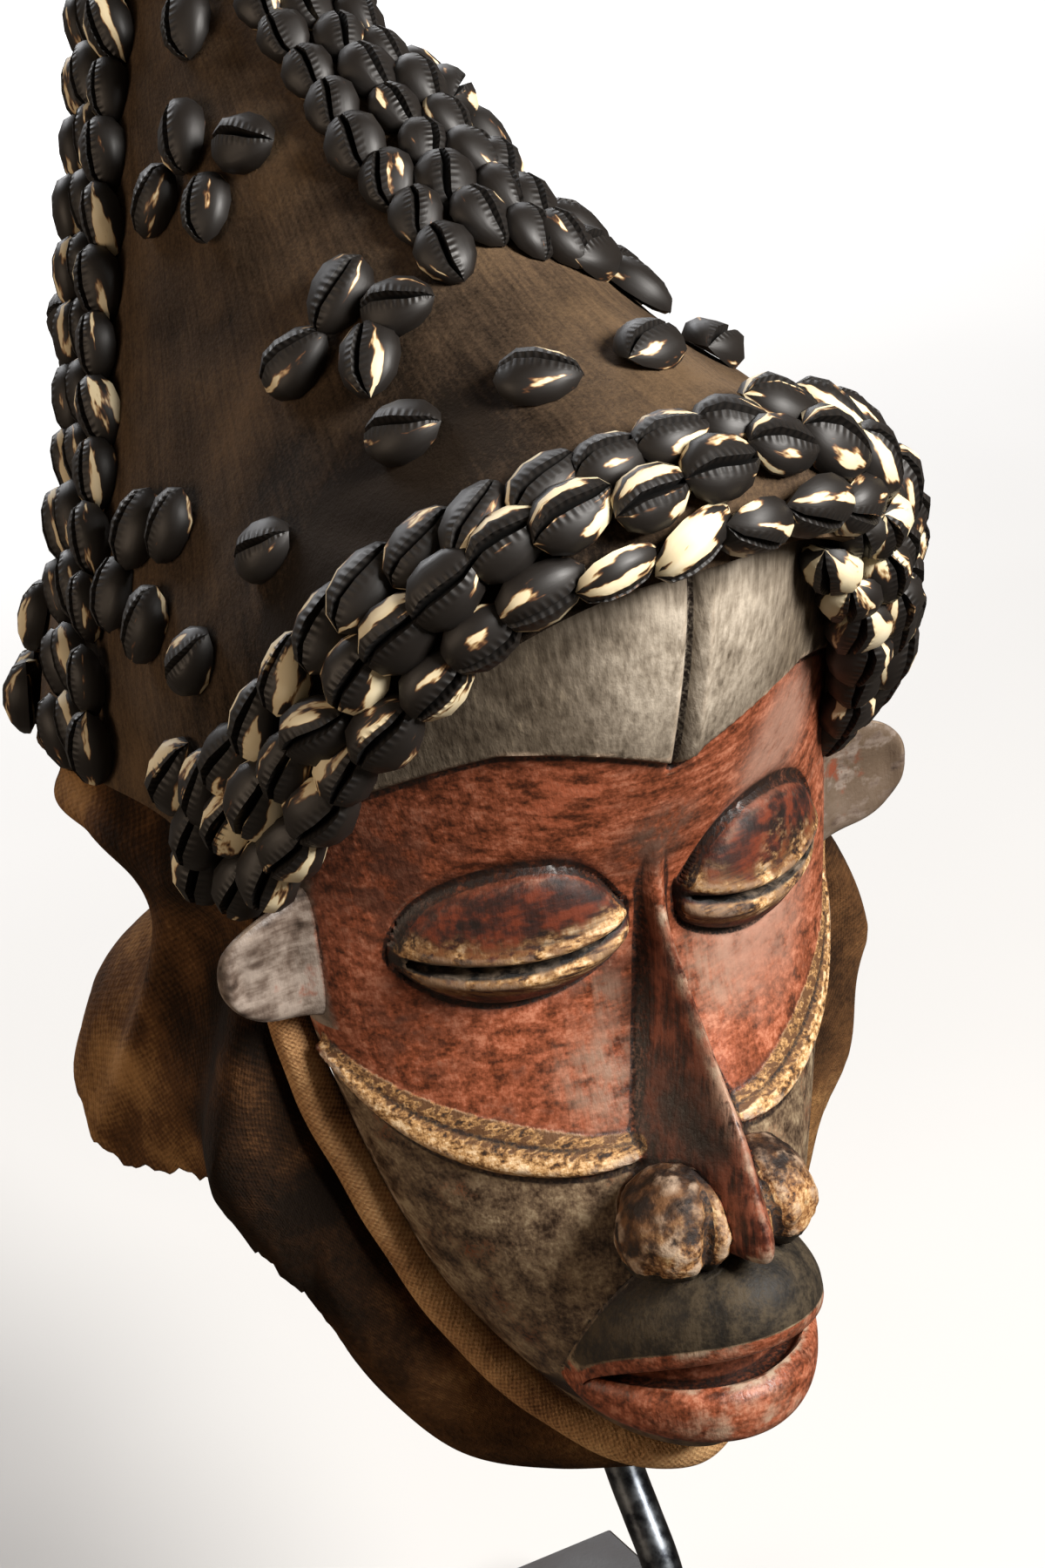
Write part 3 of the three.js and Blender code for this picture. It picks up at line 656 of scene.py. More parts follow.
@dataclass
class CarvedFace:
    """The wooden face: one piece of carved wood with painted and worn zones."""

    wall: float = 7.0
    columns_out: int = 236
    columns_in: int = 30
    rows_low: int = 236
    rows_high: int = 40
    rows_split: float = 75.0
    nostril: float = 15.0
    lobe_size: Point = (1.12, 1.14, 1.10)
    upper_top: tuple[float, float] = (-132.5, -84.0)  # heights and depths of the lips: at the corner, in the middle
    upper_front: tuple[float, float] = (-63.0, -106.0)
    lower_top: tuple[float, float] = (-133.5, -123.5)
    lower_foot: tuple[float, float] = (-137.0, -147.0)
    lower_front: tuple[float, float] = (-62.0, -100.5)
    ear_reach: tuple[float, float] = (66.0, 110.6)
    ear_half: float = 15.5
    ear_thick: float = 4.2
    nose_fillet: float = 2.6
    splay: float = 12.0  # how many degrees the nostril lobes turn out
    form: FaceForm = field(default_factory=FaceForm)

    def skin(self, u: Array, v: Array) -> Array:
        """Outer and inner surface of the shell, once round for each height.

        Args:
            u: place round the shell, the outer side first.
            v: place from the chin to the top.

        Returns:
            Points in the mask's frame.
        """
        f = self.form
        total = self.columns_out + self.columns_in
        i = np.rint(v * (self.rows_low + self.rows_high))
        low, high = f.front.x[0], f.front.x[-1]
        z = np.where(i <= self.rows_low, mix(low, self.rows_split, i / self.rows_low),
                     mix(self.rows_split, high, (i - self.rows_low) / self.rows_high))
        j = np.rint(u * total) % total
        t = 2 * j / self.columns_out - 1
        angle = np.radians(90) * (0.62 * t + 0.38 * t**3)
        outer = f.point(angle, z)
        front = f.point(angle, z, f.proud(outer))
        x = front[:, 0]
        dome, _ = f.lid(x, z)
        depth = front[:, 1] - dome
        nose, _ = f.nose(x, z)
        blend = np.clip(self.nose_fillet - np.abs(depth - nose), 0, None) ** 2 / (4 * self.nose_fillet)
        front[:, 1] = np.minimum(depth, nose) - blend
        t = 1 - 2 * (j - self.columns_out - 0.5) / (self.columns_in - 1)
        arc = f.point(np.radians(90) * t, z, -self.wall)
        chord = np.stack([(f.half.at(z) - self.wall * 0.6) * t * 0.96, f.rim.at(z), z], -1)
        hollow = (ease((z - low - 2) / 12) * ease((high - z - 3) / 12))[:, None]
        return np.where((j <= self.columns_out)[:, None], front, mix(chord, arc, hollow))

    def lip(self, upper: bool) -> Mesh:
        """One lip as a closed rounded bar, bowed forward.

        Args:
            upper: True for the upper lip.

        Returns:
            The closed mesh.
        """
        def place(u: Array, v: Array) -> Array:
            """Points of the lip.

            Args:
                u: place round the bar.
                v: place from corner to corner.

            Returns:
                Points in the mask's frame.
            """
            x = LIP_HALF * np.sin(np.radians(mix(-87, 87, v)))
            share = lip_share(x)
            turn = 2 * np.pi * u
            over, up = rounded(turn, 0.62)
            plan = share**1.5
            if upper:
                top, foot, front = mix(*self.upper_top, share), lip_line(x), mix(*self.upper_front, plan)
                lean = 5.5 * np.clip(up, 0, 1) ** 2 * share
            else:
                top, foot = mix(*self.lower_top, share), mix(*self.lower_foot, share)
                front = mix(*self.lower_front, plan)
                lean = 2.0 * np.clip(-up, 0, 1) ** 2 * share
            back = -50 - 10 * share
            y = (front + back) / 2 + (front - back) / 2 * over + lean * (over > 0)
            z = (top + foot) / 2 + (top - foot) / 2 * up
            if upper:
                rim = ease((0.3 - up) / 0.5) * (over > 0)
                y = y - 1.3 * rim * share
            else:
                trough = ease((y - front - 5.0) / 5) * (up > 0)
                z = z - 6.0 * share**2 * trough
            return np.stack([x, y, z], -1)

        shape = bend_grid(64, 70, place)
        return close_up(shape)

    @staticmethod
    def lobe_centre(hand: Hand) -> Point:
        """Centre of one nostril lobe; the carver set the mask's left one closer in."""
        return (-15.0, -81.5, -73.0) if hand is Hand.RIGHT else (11.5, -80.0, -74.5)

    def nostril_lobe(self, hand: Hand) -> Mesh:
        """One round lobe beside the nose's tip.

        Args:
            hand: the mask's right or left.

        Returns:
            The closed mesh.
        """
        shape = bmesh.new()
        shape.loops.layers.uv.new("UVMap")
        bmesh.ops.create_icosphere(shape, subdivisions=5, radius=self.nostril)
        bmesh.ops.scale(shape, vec=self.lobe_size, verts=shape.verts)
        for vert in shape.verts:
            furrow = hill(vert.co.x * hand.value + 5 + vert.co.z * 0.12, 2.3) * (vert.co.y < 0)
            rough = sum(height * noise.noise(vert.co / size) for height, size in ((1.1, 9), (0.7, 4), (0.35, 1.6)))
            vert.co += vert.co.normalized() * rough + Vector((0, 3.6 * furrow, 0))
            vert.co.z -= 0.012 * vert.co.x**2
        turn = Matrix.Rotation(math.radians(hand.value * self.splay), 3, "Z")
        bmesh.ops.rotate(shape, matrix=turn, verts=shape.verts)
        bmesh.ops.translate(shape, vec=self.lobe_centre(hand), verts=shape.verts)
        for vert, point in zip(shape.verts, seat(np.array([v.co for v in shape.verts]))):
            vert.co = point
        return shape

    def ear(self, hand: Hand) -> Mesh:
        """One plain paddle ear, dished in front and flared where it leaves the face.

        Args:
            hand: the mask's right or left.

        Returns:
            The closed mesh.
        """
        def place(u: Array, v: Array) -> Array:
            """Points of the ear.

            Args:
                u: place round the ear's section.
                v: place from root to tip.

            Returns:
                Points in the mask's frame.
            """
            out = mix(*self.ear_reach, 1 - (1 - v) ** 1.6)
            tall = self.ear_half * np.sqrt(np.clip(1 - (np.clip(out - 93, 0, None) / 17.7) ** 2, 0.0005, 1))
            over, up = rounded(2 * np.pi * u, 0.75)
            tall = tall + mix(3.0, 12.0, up > 0) * np.exp(-np.clip(out - 80, 0, None) / 9)
            thick = (self.ear_thick - 0.8 * ease((out - 84) / 22)) * np.minimum(1, tall / 8)
            y = -5 - thick * over + 0.045 * (out - 80)
            dish = 3.0 * hill(up, 0.68) * (over > 0.3) * ease((out - 80) / 9) * ease((110 - out) / 7)
            y = y + dish - 2.5 * ease((out - 84) / 20)
            return np.stack([hand.value * out, y, -3.5 + tall * up + 0.1 * (out - 90)], -1)

        return close_up(bend_grid(48, 40, place))

    def slit(self, hand: Hand) -> Mesh:
        """The cut that opens one eye right through the wood.

        Args:
            hand: the mask's right or left.

        Returns:
            The closed mesh.
        """
        def place(u: Array, v: Array) -> Array:
            """Points of the cut.

            Args:
                u: place round the cut.
                v: place from its inner end to its outer.

            Returns:
                Points in the mask's frame.
            """
            x = mix(11, 65, v)
            middle = self.form.lens(x)[2]
            front = self.form.depth(x, middle)
            over, up = rounded(2 * np.pi * u, 0.7)
            return np.stack([hand.value * x, front + 13 - 30 * over,
                             middle + self.form.gap(x) * up + 0.25 * np.sin(x * 0.9)], -1)

        return close_up(bend_grid(24, 60, place))

    def zones(self, points: Array) -> dict[str, Array]:
        """Distances in millimetres into each painted zone, minus outside it.

        Args:
            points: vertices in the mask's frame.

        Returns:
            One array per zone.
        """
        f = self.form
        x, y, z = points.T
        base = f.depth(np.clip(x, -83, 83), np.clip(z, -168, 142))
        above, width, _ = f.crescent_place(points)
        nose, steep = f.nose(x, z)
        proud = base - y
        share, _, slit = f.lens(x)
        _, out = f.lid(x, z)
        rise = z - slit
        lobe = [np.linalg.norm((points - self.lobe_centre(hand)) / self.lobe_size, axis=1) for hand in Hand]
        in_nose = np.minimum((proud - 1.0) / steep, np.minimum(z + 84, (10 - z) * 0.12))
        in_nose = np.where(np.abs(y - nose) > 1.2, np.minimum(in_nose, -0.5), in_nose)
        lobes = self.nostril + 2.0 - np.minimum(*lobe)
        lobes = np.where(np.abs(y - nose) < 0.6, -1.0, lobes)
        lip = lip_line(x)
        lips = np.where((np.abs(x) < 38.4) & (z < -82) & (z > -150), proud - 0.8, -4.0)
        lips = np.where((np.abs(x) < 36) & (z < lip + 2) & (z > -134), np.maximum(lips, 2.0), lips)
        edge = 9.5 * np.sqrt(lip_share(x)) + 1.2
        pale = [(points - self.lobe_centre(hand)) @ np.array([-0.3 * hand.value, -0.5, -0.8]) / 17 + more
                for hand, more in ((Hand.RIGHT, 0.0), (Hand.LEFT, 0.45))]
        ears = np.where(np.abs(x) > 70, np.abs(x) - np.abs(f.half.at(z)) + 3.5, -5)
        ears = np.where((z > -26) & (z < 32) & (y > -13), ears, -5)
        front = y < f.rim.at(np.clip(z, -168, 142)) - 0.3
        inside = (proud < -self.wall * 0.55) & (out > 0.25) & (np.abs(x) < f.half.at(z) - 1)
        return {
            "forehead": np.where(front, z - f.brow(x), 0.5),
            "lower": np.where(z < 0, -above - width * 0.85, -5.0),
            "band": width - np.abs(above),
            "band_side": above / width,
            "nose": in_nose,
            "lobe": lobes,
            "lobe_pale": np.where(x < 0, *pale),
            "lid": np.where((share > -0.02) & (share < 1.02), (1 - out) * 12, -5),
            "lid_rise": rise,
            "slit": f.gap(x) + 0.7 - np.abs(rise),
            "lip_dark": np.minimum(lips, z - lip - edge),
            "lip_red": np.minimum(lips, lip + edge - z),
            "mouth": np.where(z < lip + 3, np.where(lips > -4, y + 54 + 43 * lip_share(x) ** 1.5, -5.0), -2.0),
            "ear": ears,
            "bare": np.where(inside, 1.0, 0.0),
        }

    def build(self, finish: Finish) -> Piece:
        """Builds the face.

        Args:
            finish: the painted wood.

        Returns:
            The finished piece.
        """
        shape = close_up(bend_grid(self.columns_out + self.columns_in, self.rows_low + self.rows_high, self.skin))
        piece = make_object(shape, "carved_wooden_face")
        tools = [self.lip(True), self.lip(False)]
        for hand in Hand:
            tools += [self.nostril_lobe(hand), self.ear(hand)]
        for shape in tools:
            carve(piece, make_object(shape, "tool"), Carving.ADD)
        for hand in Hand:
            carve(piece, make_object(self.slit(hand), "tool"), Carving.CUT)
        keep_values(piece, self.zones(unseat(vertex_array(piece))))
        # positive where a vertex stands proud, for the rubbed edges; negative where it lies sunk, for the painted shade
        # in creases
        keep_values(piece, {"wear": proud_and_sunk(piece)})
        smooth(piece, 42)
        piece.data.materials.clear()
        piece.data.materials.append(finish)
        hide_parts("carved_face")
        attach(piece, "root")
        return piece


@dataclass(frozen=True)
class HoodForm:
    """The hood's shape: turn is 0 in front and 1 behind, rise is 0 at the rim and 1 at the tip.

    The rim and the knee above it are given by points from the front to the back, in the mask's frame.
    """

    rim: ClassVar[Array] = np.array([
        (0, -91, 127), (30, -88, 125), (57, -75, 110), (79, -50, 80), (91, -22, 42), (96, 11, 13),
        (99, 48, 20), (102, 97, 12), (94, 165, -8), (54, 212, -24), (0, 228, -28)], float)
    knee: ClassVar[Array] = np.array([
        (0, -84, 151), (30, -79, 148), (57, -62, 135), (78, -34, 113), (89, -2, 88), (94, 30, 70),
        (94, 68, 62), (91, 112, 52), (82, 168, 34), (48, 210, 20), (0, 226, 16)], float)
    tip: ClassVar[Array] = np.array([0, 243, 254.0])
    middle: ClassVar[Array] = np.array([0, 90, 40])
    shoulder_share: float = 0.26
    middle_share: float = 0.58
    front_sag: float = 8.0
    flank_sag: float = 9.0
    step: float = 0.004

    def surface(self, turn: Array, rise: Array) -> Array:
        """Points of the hood's outer skin.

        Args:
            turn: places round the hood.
            rise: places up the hood.

        Returns:
            Points in the mask's frame.
        """
        full = np.abs((turn + 1) % 2 - 1)
        side = np.where(turn % 2 > 1, -1.0, 1.0)
        rim, knee = through(self.rim, full), through(self.knee, full)
        ahead = np.cos(np.pi * full / 2) ** 2
        flank = self.flank_sag * np.sin(np.pi * np.clip(full * 1.8, 0, 1)) ** 2
        shoulder, middle = mix(knee, self.tip, self.shoulder_share), mix(knee, self.tip, self.middle_share)
        shoulder[:, 2] -= self.front_sag * ahead + flank
        middle[:, 2] -= 3 * ahead + flank * 0.5
        tip = np.repeat(self.tip[None], len(turn), 0)
        point = through(np.stack([rim, knee, shoulder, middle, tip]), rise)
        point[:, 0] *= side
        return point

    def seats(self, turn: Any, rise: Any, offset: Any = 0.0) -> tuple[Array, ...]:
        """Points of the skin with their directions.

        Args:
            turn: places round the hood.
            rise: places up the hood.
            offset: distance out from the skin, in millimetres.

        Returns:
            Points, outward normals, directions round and directions up.
        """
        turn, rise = np.atleast_1d(np.asarray(turn, float)), np.atleast_1d(np.asarray(rise, float))
        low = np.clip(rise, self.step, 1 - 2 * self.step)
        way = self.surface(turn + self.step, low) - self.surface(turn - self.step, low)
        up = self.surface(turn, low + self.step) - self.surface(turn, low - self.step)
        normal = np.cross(way, up)
        normal, way, up = (a / np.linalg.norm(a, axis=1, keepdims=True) for a in (normal, way, up))
        point = self.surface(turn, rise)
        outward = np.sign(((point - self.middle) * normal).sum(1, keepdims=True))
        normal = normal * outward
        return point + normal * np.broadcast_to(offset, turn.shape)[:, None], normal, way, up

    def girth(self, turn: float, rise: float) -> float:
        """Millimetres round the hood for one unit of turn at a place."""
        ends = self.surface(np.array([turn + 0.01, turn - 0.01]), np.array([rise, rise]))
        return float(np.linalg.norm(ends[0] - ends[1])) / 0.02

    def rise_at(self, turn: float, length: float) -> float:
        """Rise of the place a length up from the rim, in millimetres; below the rim it is minus length/100.

        Args:
            turn: place round the hood.
            length: millimetres up from the rim, minus where it hangs below.

        Returns:
            The rise; below the rim it is length / 100.
        """
        if length < 0:
            return length / 100
        rises = np.linspace(0, 1, 160)
        line = self.surface(np.full(len(rises), turn), rises)
        lengths = np.concatenate([[0], np.linalg.norm(np.diff(line, axis=0), axis=1).cumsum()])
        return float(np.interp(length, lengths, rises))


@dataclass
class HideHood:
    """The leaning cone of dark hide, hollow, with a thick edge."""

    wall: float = 4.0
    columns: int = 176
    rows: int = 120
    rows_out: int = 84
    blunt: float = 5.0
    dent: float = 1.3
    pucker: float = 0.45
    crease: float = 1.6
    crease_at: tuple[float, float] = (1.78, 0.3)  # turn and rise of the slanting crease's middle
    inner_top: float = 0.9  # rise at which the hollow ends
    form: HoodForm = field(default_factory=HoodForm)

    def skin(self, u: Array, v: Array) -> Array:
        """Points of the hood, from the tip down the outside and up the inside.

        Args:
            u: place round the hood.
            v: place from the outer tip to the inner.

        Returns:
            Points in the mask's frame.
        """
        turn = 2 * (np.rint(u * self.columns) % self.columns) / self.columns
        i = np.rint(v * self.rows)
        outside = i <= self.rows_out
        inner = (i - self.rows_out - 1) / (self.rows - self.rows_out - 1)
        rise = np.where(outside, 1 - i / self.rows_out, self.inner_top * inner)
        point, normal, _, _ = self.form.seats(turn, rise, np.where(outside, 0.0, -self.wall))
        dents = ripple(point, 46, 2) * self.dent + ripple(point + 300, 15, 2) * self.pucker
        crease = -self.crease * hill((turn - self.crease_at[0]) * 150 + (rise - self.crease_at[1]) * 130, 3.5)
        crease *= ease((rise - 0.12) / 0.08) * ease((0.42 - rise) / 0.1)
        calm = ease(rise / 0.06) * ease((1 - rise) / 0.06) * outside
        point = point + normal * ((dents + crease) * calm)[:, None]
        axis = np.array([0, 0.53, 0.85])
        below = ((self.form.tip - point) @ axis)[:, None]
        return point - axis * (np.sqrt(below**2 + self.blunt**2) - below)

    def build(self, finish: Finish) -> Piece:
        """Builds the hood.

        Args:
            finish: the dark hide.

        Returns:
            The finished piece.
        """
        shape = bend_grid(self.columns, self.rows, self.skin)
        bmesh.ops.remove_doubles(shape, verts=shape.verts, dist=WELD * MM)
        ends = bmesh.ops.holes_fill(shape, edges=[e for e in shape.edges if e.is_boundary], sides=0)["faces"]
        bmesh.ops.poke(shape, faces=ends)
        bmesh.ops.recalc_face_normals(shape, faces=shape.faces)
        piece = make_object(shape, "dark_hide_hood", finish, 60)
        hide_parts("hide_hood")
        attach(piece, "root")
        return piece


@dataclass(frozen=True)
class Shell:
    """One cowrie's place: turn, rise, heading in degrees from the way up, tilt, roll, size, lift and breadth."""

    turn: float
    rise: float
    heading: float = 0.0
    pitch: float = 0.0
    roll: float = 0.0
    size: float = 1.0
    lift: float = 1.0
    broad: float = 1.0


@dataclass
class CowrieShape:
    """A money cowrie seen from its toothed side, its back on the hide. A few dozen faces."""

    length: float = 25.0
    width: float = 18.2
    height: float = 9.5
    mouth_drop: float = 0.5
    stations: tuple[float, ...] = (-1.0, -0.84, -0.48, 0.0, 0.45, 0.82, 1.0)
    sides: tuple[float, ...] = (-114, -80, -50, -25, -9, 0, 9, 25, 50, 80, 114)

    def template(self, bend: float) -> Mesh:
        """One shell at the origin, long way along Y and mouth along +Z.

        Args:
            bend: how far the mouth bows to the side.

        Returns:
            The closed mesh, in metres.
        """
        rows, columns = len(self.stations) - 1, len(self.sides) - 1
        shape = bmesh.new()
        shape.loops.layers.uv.new("UVMap")
        bmesh.ops.create_grid(shape, x_segments=columns, y_segments=rows, size=1.0, calc_uvs=True)
        for vert in shape.verts:
            side = self.sides[round((vert.co.x + 1) / 2 * columns)]
            long = self.stations[round((vert.co.y + 1) / 2 * rows)]
            full = max(1 - abs(long) ** 2.2, 0.0) ** 0.62 * (1 + 0.12 * long)
            turn = math.radians(side)
            low = math.cos(math.radians(self.sides[-1]))
            up = (math.cos(turn) - low) / (1 - low)
            x = math.sin(turn) * self.width / 2 * full
            z = self.height * (0.3 + (up - 0.3) * full ** 0.85)
            if side == 0:
                z -= self.height * self.mouth_drop * max(full, 0.18)
            if abs(side) < 30:
                x += (bend * (1 - long * long) + 0.05 * math.sin(math.pi * long)) * self.width
            vert.co = Vector((x, long * self.length / 2, z)) * MM
        bmesh.ops.remove_doubles(shape, verts=shape.verts, dist=0.05 * MM)
        bmesh.ops.holes_fill(shape, edges=[e for e in shape.edges if e.is_boundary], sides=0)
        bmesh.ops.recalc_face_normals(shape, faces=shape.faces)
        return shape


@dataclass
class CowrieWork:
    """All the cowries sewn to the hood: bands, fours, pairs and single shells."""

    form: HoodForm = field(default_factory=HoodForm)
    shape: CowrieShape = field(default_factory=CowrieShape)
    pitch: float = 18.5  # from shell to shell along a row, and from row to row
    row: float = 13.5
    plain_size: float = 0.92
    least_girth: float = 145.0
    nape_pitch: float = 14.5
    seed: int = 11
    hem: Stations = field(default_factory=lambda: Stations(
        [(0, 12), (0.12, 12), (0.2, 9), (0.3, 3), (0.42, 3), (0.5, 7), (0.56, 9)]))
    head: Stations = field(default_factory=lambda: Stations(
        [(0, 35), (0.1, 35), (0.2, 34), (0.3, 34), (0.37, 36), (0.43, 35), (0.5, 32), (0.56, 30)]))
    lean: Stations = field(default_factory=lambda: Stations(
        [(0, 0), (0.03, 14), (0.1, 22), (0.2, 31), (0.3, 40), (0.4, 46), (0.5, 58), (0.56, 66)]))

    def __post_init__(self) -> None:
        """Makes the four shell templates and the seeded shuffle."""
        self.chance = np.random.default_rng(self.seed)
        self.templates = []
        for bend in (-0.07, -0.02, 0.03, 0.08):
            shape = self.shape.template(bend)
            mesh = bpy.data.meshes.new("cowrie_template")
            shape.to_mesh(mesh)
            shape.free()
            self.templates.append(mesh)

    def sew(self, name: str, shells: Sequence[Shell], nodes: Sequence[str], finish: Finish,
            rubbed: float) -> Piece:
        """Sets shells on the hood as one piece.

        Args:
            name: the piece's name.
            shells: where each shell lies.
            nodes: the plain solids that the piece stands for.
            finish: the shell's surface.
            rubbed: how far the stain is worn off, 0 to 1.

        Returns:
            The finished piece.
        """
        shape = bmesh.new()
        tone = shape.verts.layers.float.new("tone")
        worn = shape.verts.layers.float.new("worn")
        points, normals, _, ups = self.form.seats([s.turn for s in shells], [max(s.rise, 0.0) for s in shells],
                                                  [s.lift for s in shells])
        origin = seat(np.zeros((1, 3)))[0]
        for shell, point, normal, up in zip(shells, points, normals, ups):
            if shell.rise < 0:
                point = point + up * shell.rise * 100
            n = Vector(seat(normal[None])[0] - origin).normalized()
            u = Vector(seat(up[None])[0] - origin).normalized()
            u = (u - n * u.dot(n)).normalized()
            turn = Matrix.Rotation(math.radians(shell.heading), 3, n)
            long = turn @ u
            wide = long.cross(n)
            base = Matrix((wide, long, n)).transposed()
            tilt = Matrix.Rotation(math.radians(shell.pitch), 3, "X")
            tilt = base @ tilt @ Matrix.Rotation(math.radians(shell.roll), 3, "Y")
            place = Matrix.Translation(Vector(seat(point[None])[0])) @ tilt.to_4x4()
            place = place @ Matrix.Diagonal((shell.size * shell.broad, shell.size, shell.size, 1.0))
            first = len(shape.verts)
            shape.from_mesh(self.templates[int(self.chance.integers(len(self.templates)))])
            shape.verts.ensure_lookup_table()
            mine = shape.verts[first:]
            bmesh.ops.transform(shape, matrix=place, verts=mine)
            value, share = float(self.chance.random()) * 40, rubbed + self.scatter(0.1 + 0.45 * rubbed)
            for vert in mine:
                vert[tone], vert[worn] = value, share
        piece = make_object(shape, name, finish, 50)
        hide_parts(*nodes)
        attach(piece, "root")
        return piece

    def scatter(self, spread: float) -> float:
        """A seeded chance value between minus and plus spread."""
        return float(self.chance.uniform(-spread, spread))

    def brow(self) -> list[Shell]:
        """Three overlapping rows along the hood's front edge, and two more that turn in under it at the far side.

        Returns:
            The shells.
        """
        shells = []
        rows = ((0.0, -9.0, -100, -11.0), (0.0, -5.5, -58, -2.5),  # the two that turn in under the edge
                (0.0, 0.0, -32, 0.4), (0.5, 0.0, -18, 3.0), (1.0, 0.0, -7, 1.0))
        for row, (share, below, roll, lift) in enumerate(rows):
            turn, end = (0.2, 0.45) if row < 2 else (-0.53 + 0.022 * (row % 2), 0.53)
            while turn < end:
                length = mix(float(self.hem.at(abs(turn))), float(self.head.at(abs(turn))), share) + below
                rise = self.form.rise_at(turn, length + self.scatter(1.8))
                lean = -math.copysign(float(self.lean.at(abs(turn))), turn)
                shells.append(Shell(turn, rise, 90 + lean + self.scatter(16), 8 + self.scatter(7),
                                    roll + self.scatter(9), 1.02 + self.scatter(0.09), lift + self.scatter(0.6)))
                turn += (self.pitch + self.scatter(2)) / self.form.girth(turn, max(rise, 0.0))
        return shells

    def climb(self, turn: float, low: float, high: float, rows: int, size: float = 0.92,
              broad: float = 1.0) -> list[Shell]:
        """A band that climbs the hood, its shells lying up and down.

        Args:
            turn: the band's place round the hood.
            low: rise of its foot.
            high: rise of its head.
            rows: shells side by side.
            size: the shells' scale.
            broad: their breadth against that of the template.

        Returns:
            The shells.
        """
        shells = []
        for row in range(rows):
            sideways = (row - (rows - 1) / 2) * self.row * size / self.plain_size
            rise = low + (0.02 if row % 2 else 0)
            while rise < high:
                shift = (sideways + self.scatter(1.2)) / max(self.form.girth(turn, rise), self.least_girth)
                roll = 10 * np.sign(sideways) if abs(sideways) > 1 else 0
                shells.append(Shell(turn + shift, rise, self.scatter(18), 13 + self.scatter(6), roll + self.scatter(9),
                                    size + self.scatter(0.07), 1.6 + self.scatter(0.7), broad))
                ends = self.form.surface(np.array([turn, turn]), np.array([rise + 0.01, max(rise - 0.01, 0)]))
                rise += self.pitch * size / self.plain_size / (np.linalg.norm(ends[0] - ends[1]) / 0.02)
        return shells

    def nape(self) -> list[Shell]:
        """Two rows of hanging shells round the hood's rear edge.

        Returns:
            The shells.
        """
        shells = []
        for row, rise in enumerate((0.06, 0.21)):
            turn = 0.8 + 0.012 * row
            while turn < 1.2:
                shells.append(Shell(turn, rise + self.scatter(0.012), self.scatter(16), self.scatter(8),
                                    self.scatter(10), 1 + self.scatter(0.08), 1.4))
                turn += self.nape_pitch / self.form.girth(turn, rise)
        return shells


class Lone(Enum):
    """The cowries sewn on away from the bands: turn, rise and heading of each."""

    FOUR_HIGH = ((0.341, 0.742, -6), (0.226, 0.712, 54), (0.46, 0.705, -51), (0.324, 0.685, -12))
    FOUR_LOW = ((0.18, 0.566, -57), (0.13, 0.53, 63), (0.25, 0.535, 96), (0.18, 0.5, -21))
    FOUR_REAR = ((0.86, 0.62, -6), (0.91, 0.57, 60), (0.81, 0.57, -60), (0.86, 0.515, 6))
    PAIR_UP = ((0.572, 0.4, -36), (0.5, 0.42, -54))
    PAIR_DOWN = ((0.625, 0.315, -15), (0.56, 0.3, -45))
    ONE_TIP = ((0.259, 0.813, -15),)
    ONE_MIDDLE = ((0.06, 0.405, 60),)
    ONE_LOW = ((0.183, 0.416, 54),)
    ONE_SIDE = ((0.345, 0.369, 69),)
    ONE_BACK = ((0.478, 0.275, 108),)

    def nodes(self, hand: Hand) -> list[str]:
        """Names of the plain solids on one side of the hood.

        Args:
            hand: the mask's right or left.

        Returns:
            The nodes' names.
        """
        name, side = self.name.lower(), hand.name.lower()
        if len(self.value) == 1:
            return [f"cowrie_{name}_{side}"]
        return [f"cowrie_{name}_{i + 1}_{side}" for i in range(len(self.value))]

    def shells(self, hand: Hand, work: CowrieWork) -> list[Shell]:
        """The shells on one side of the hood.

        Args:
            hand: the mask's right or left.
            work: the work that draws their seeded unevenness.

        Returns:
            The shells.
        """
        return [Shell(hand.value * turn, rise, hand.value * -lean, work.scatter(5), work.scatter(8),
                      0.93 + work.scatter(0.05), 0.2, 1.08) for turn, rise, lean in self.value]


@dataclass
class HemRoll:
    """The roll of woven cloth along the edge of the wood, under the chin."""

    thick: float = 12.2
    length: float = 560.0
    route: tuple[Point, ...] = (
        (0, -56, -176), (25, -40, -168), (43, -21, -150), (58.5, -7.5, -121), (70.5, -1, -87), (80.5, 4, -54),
        (86, 8, -26), (86, 12, -8))

    def skin(self, u: Array, v: Array) -> Array:
        """Points of the roll, round it and along it.

        Args:
            u: place round the roll.
            v: place along it.

        Returns:
            Points in the mask's frame.
        """
        half = np.array(self.route, float)
        whole = np.concatenate([half[:0:-1] * np.array([-1, 1, 1]), half])
        centre = through(whole, v)
        way = through(whole, np.clip(v + 0.004, 0, 1)) - through(whole, np.clip(v - 0.004, 0, 1))
        way /= np.linalg.norm(way, axis=1, keepdims=True)
        out = np.cross(way, np.array([0, 1.0, 0.1]))
        out /= np.linalg.norm(out, axis=1, keepdims=True)
        over = np.cross(out, way)
        turn = (2 * np.pi * u)[:, None]
        length = v * self.length
        slack = 0.35 * np.sin(length / 17 + 3 * np.sin(length / 41))  # loose turns of the roll
        slack += 0.25 * np.sin(length / 6.3 + 2 * np.sin(u * 6.28))
        ends = ease(v / 0.015) * ease((1 - v) / 0.015)
        radius = (self.thick / 2 + slack) * np.sqrt(np.clip(ends, 0.05, 1))
        twist = 0.5 * np.cos(turn[:, 0] - length / 26)
        return centre + (out * np.cos(turn) + over * np.sin(turn)) * (radius + twist * ends)[:, None]

    def build(self, finish: Finish) -> Piece:
        """Builds the roll.

        Args:
            finish: the woven cloth.

        Returns:
            The finished piece.
        """
        piece = make_object(close_up(bend_grid(28, 420, self.skin)), "rolled_woven_hem", finish, 60)
        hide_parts("rolled_hem")
        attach(piece, "root")
        return piece


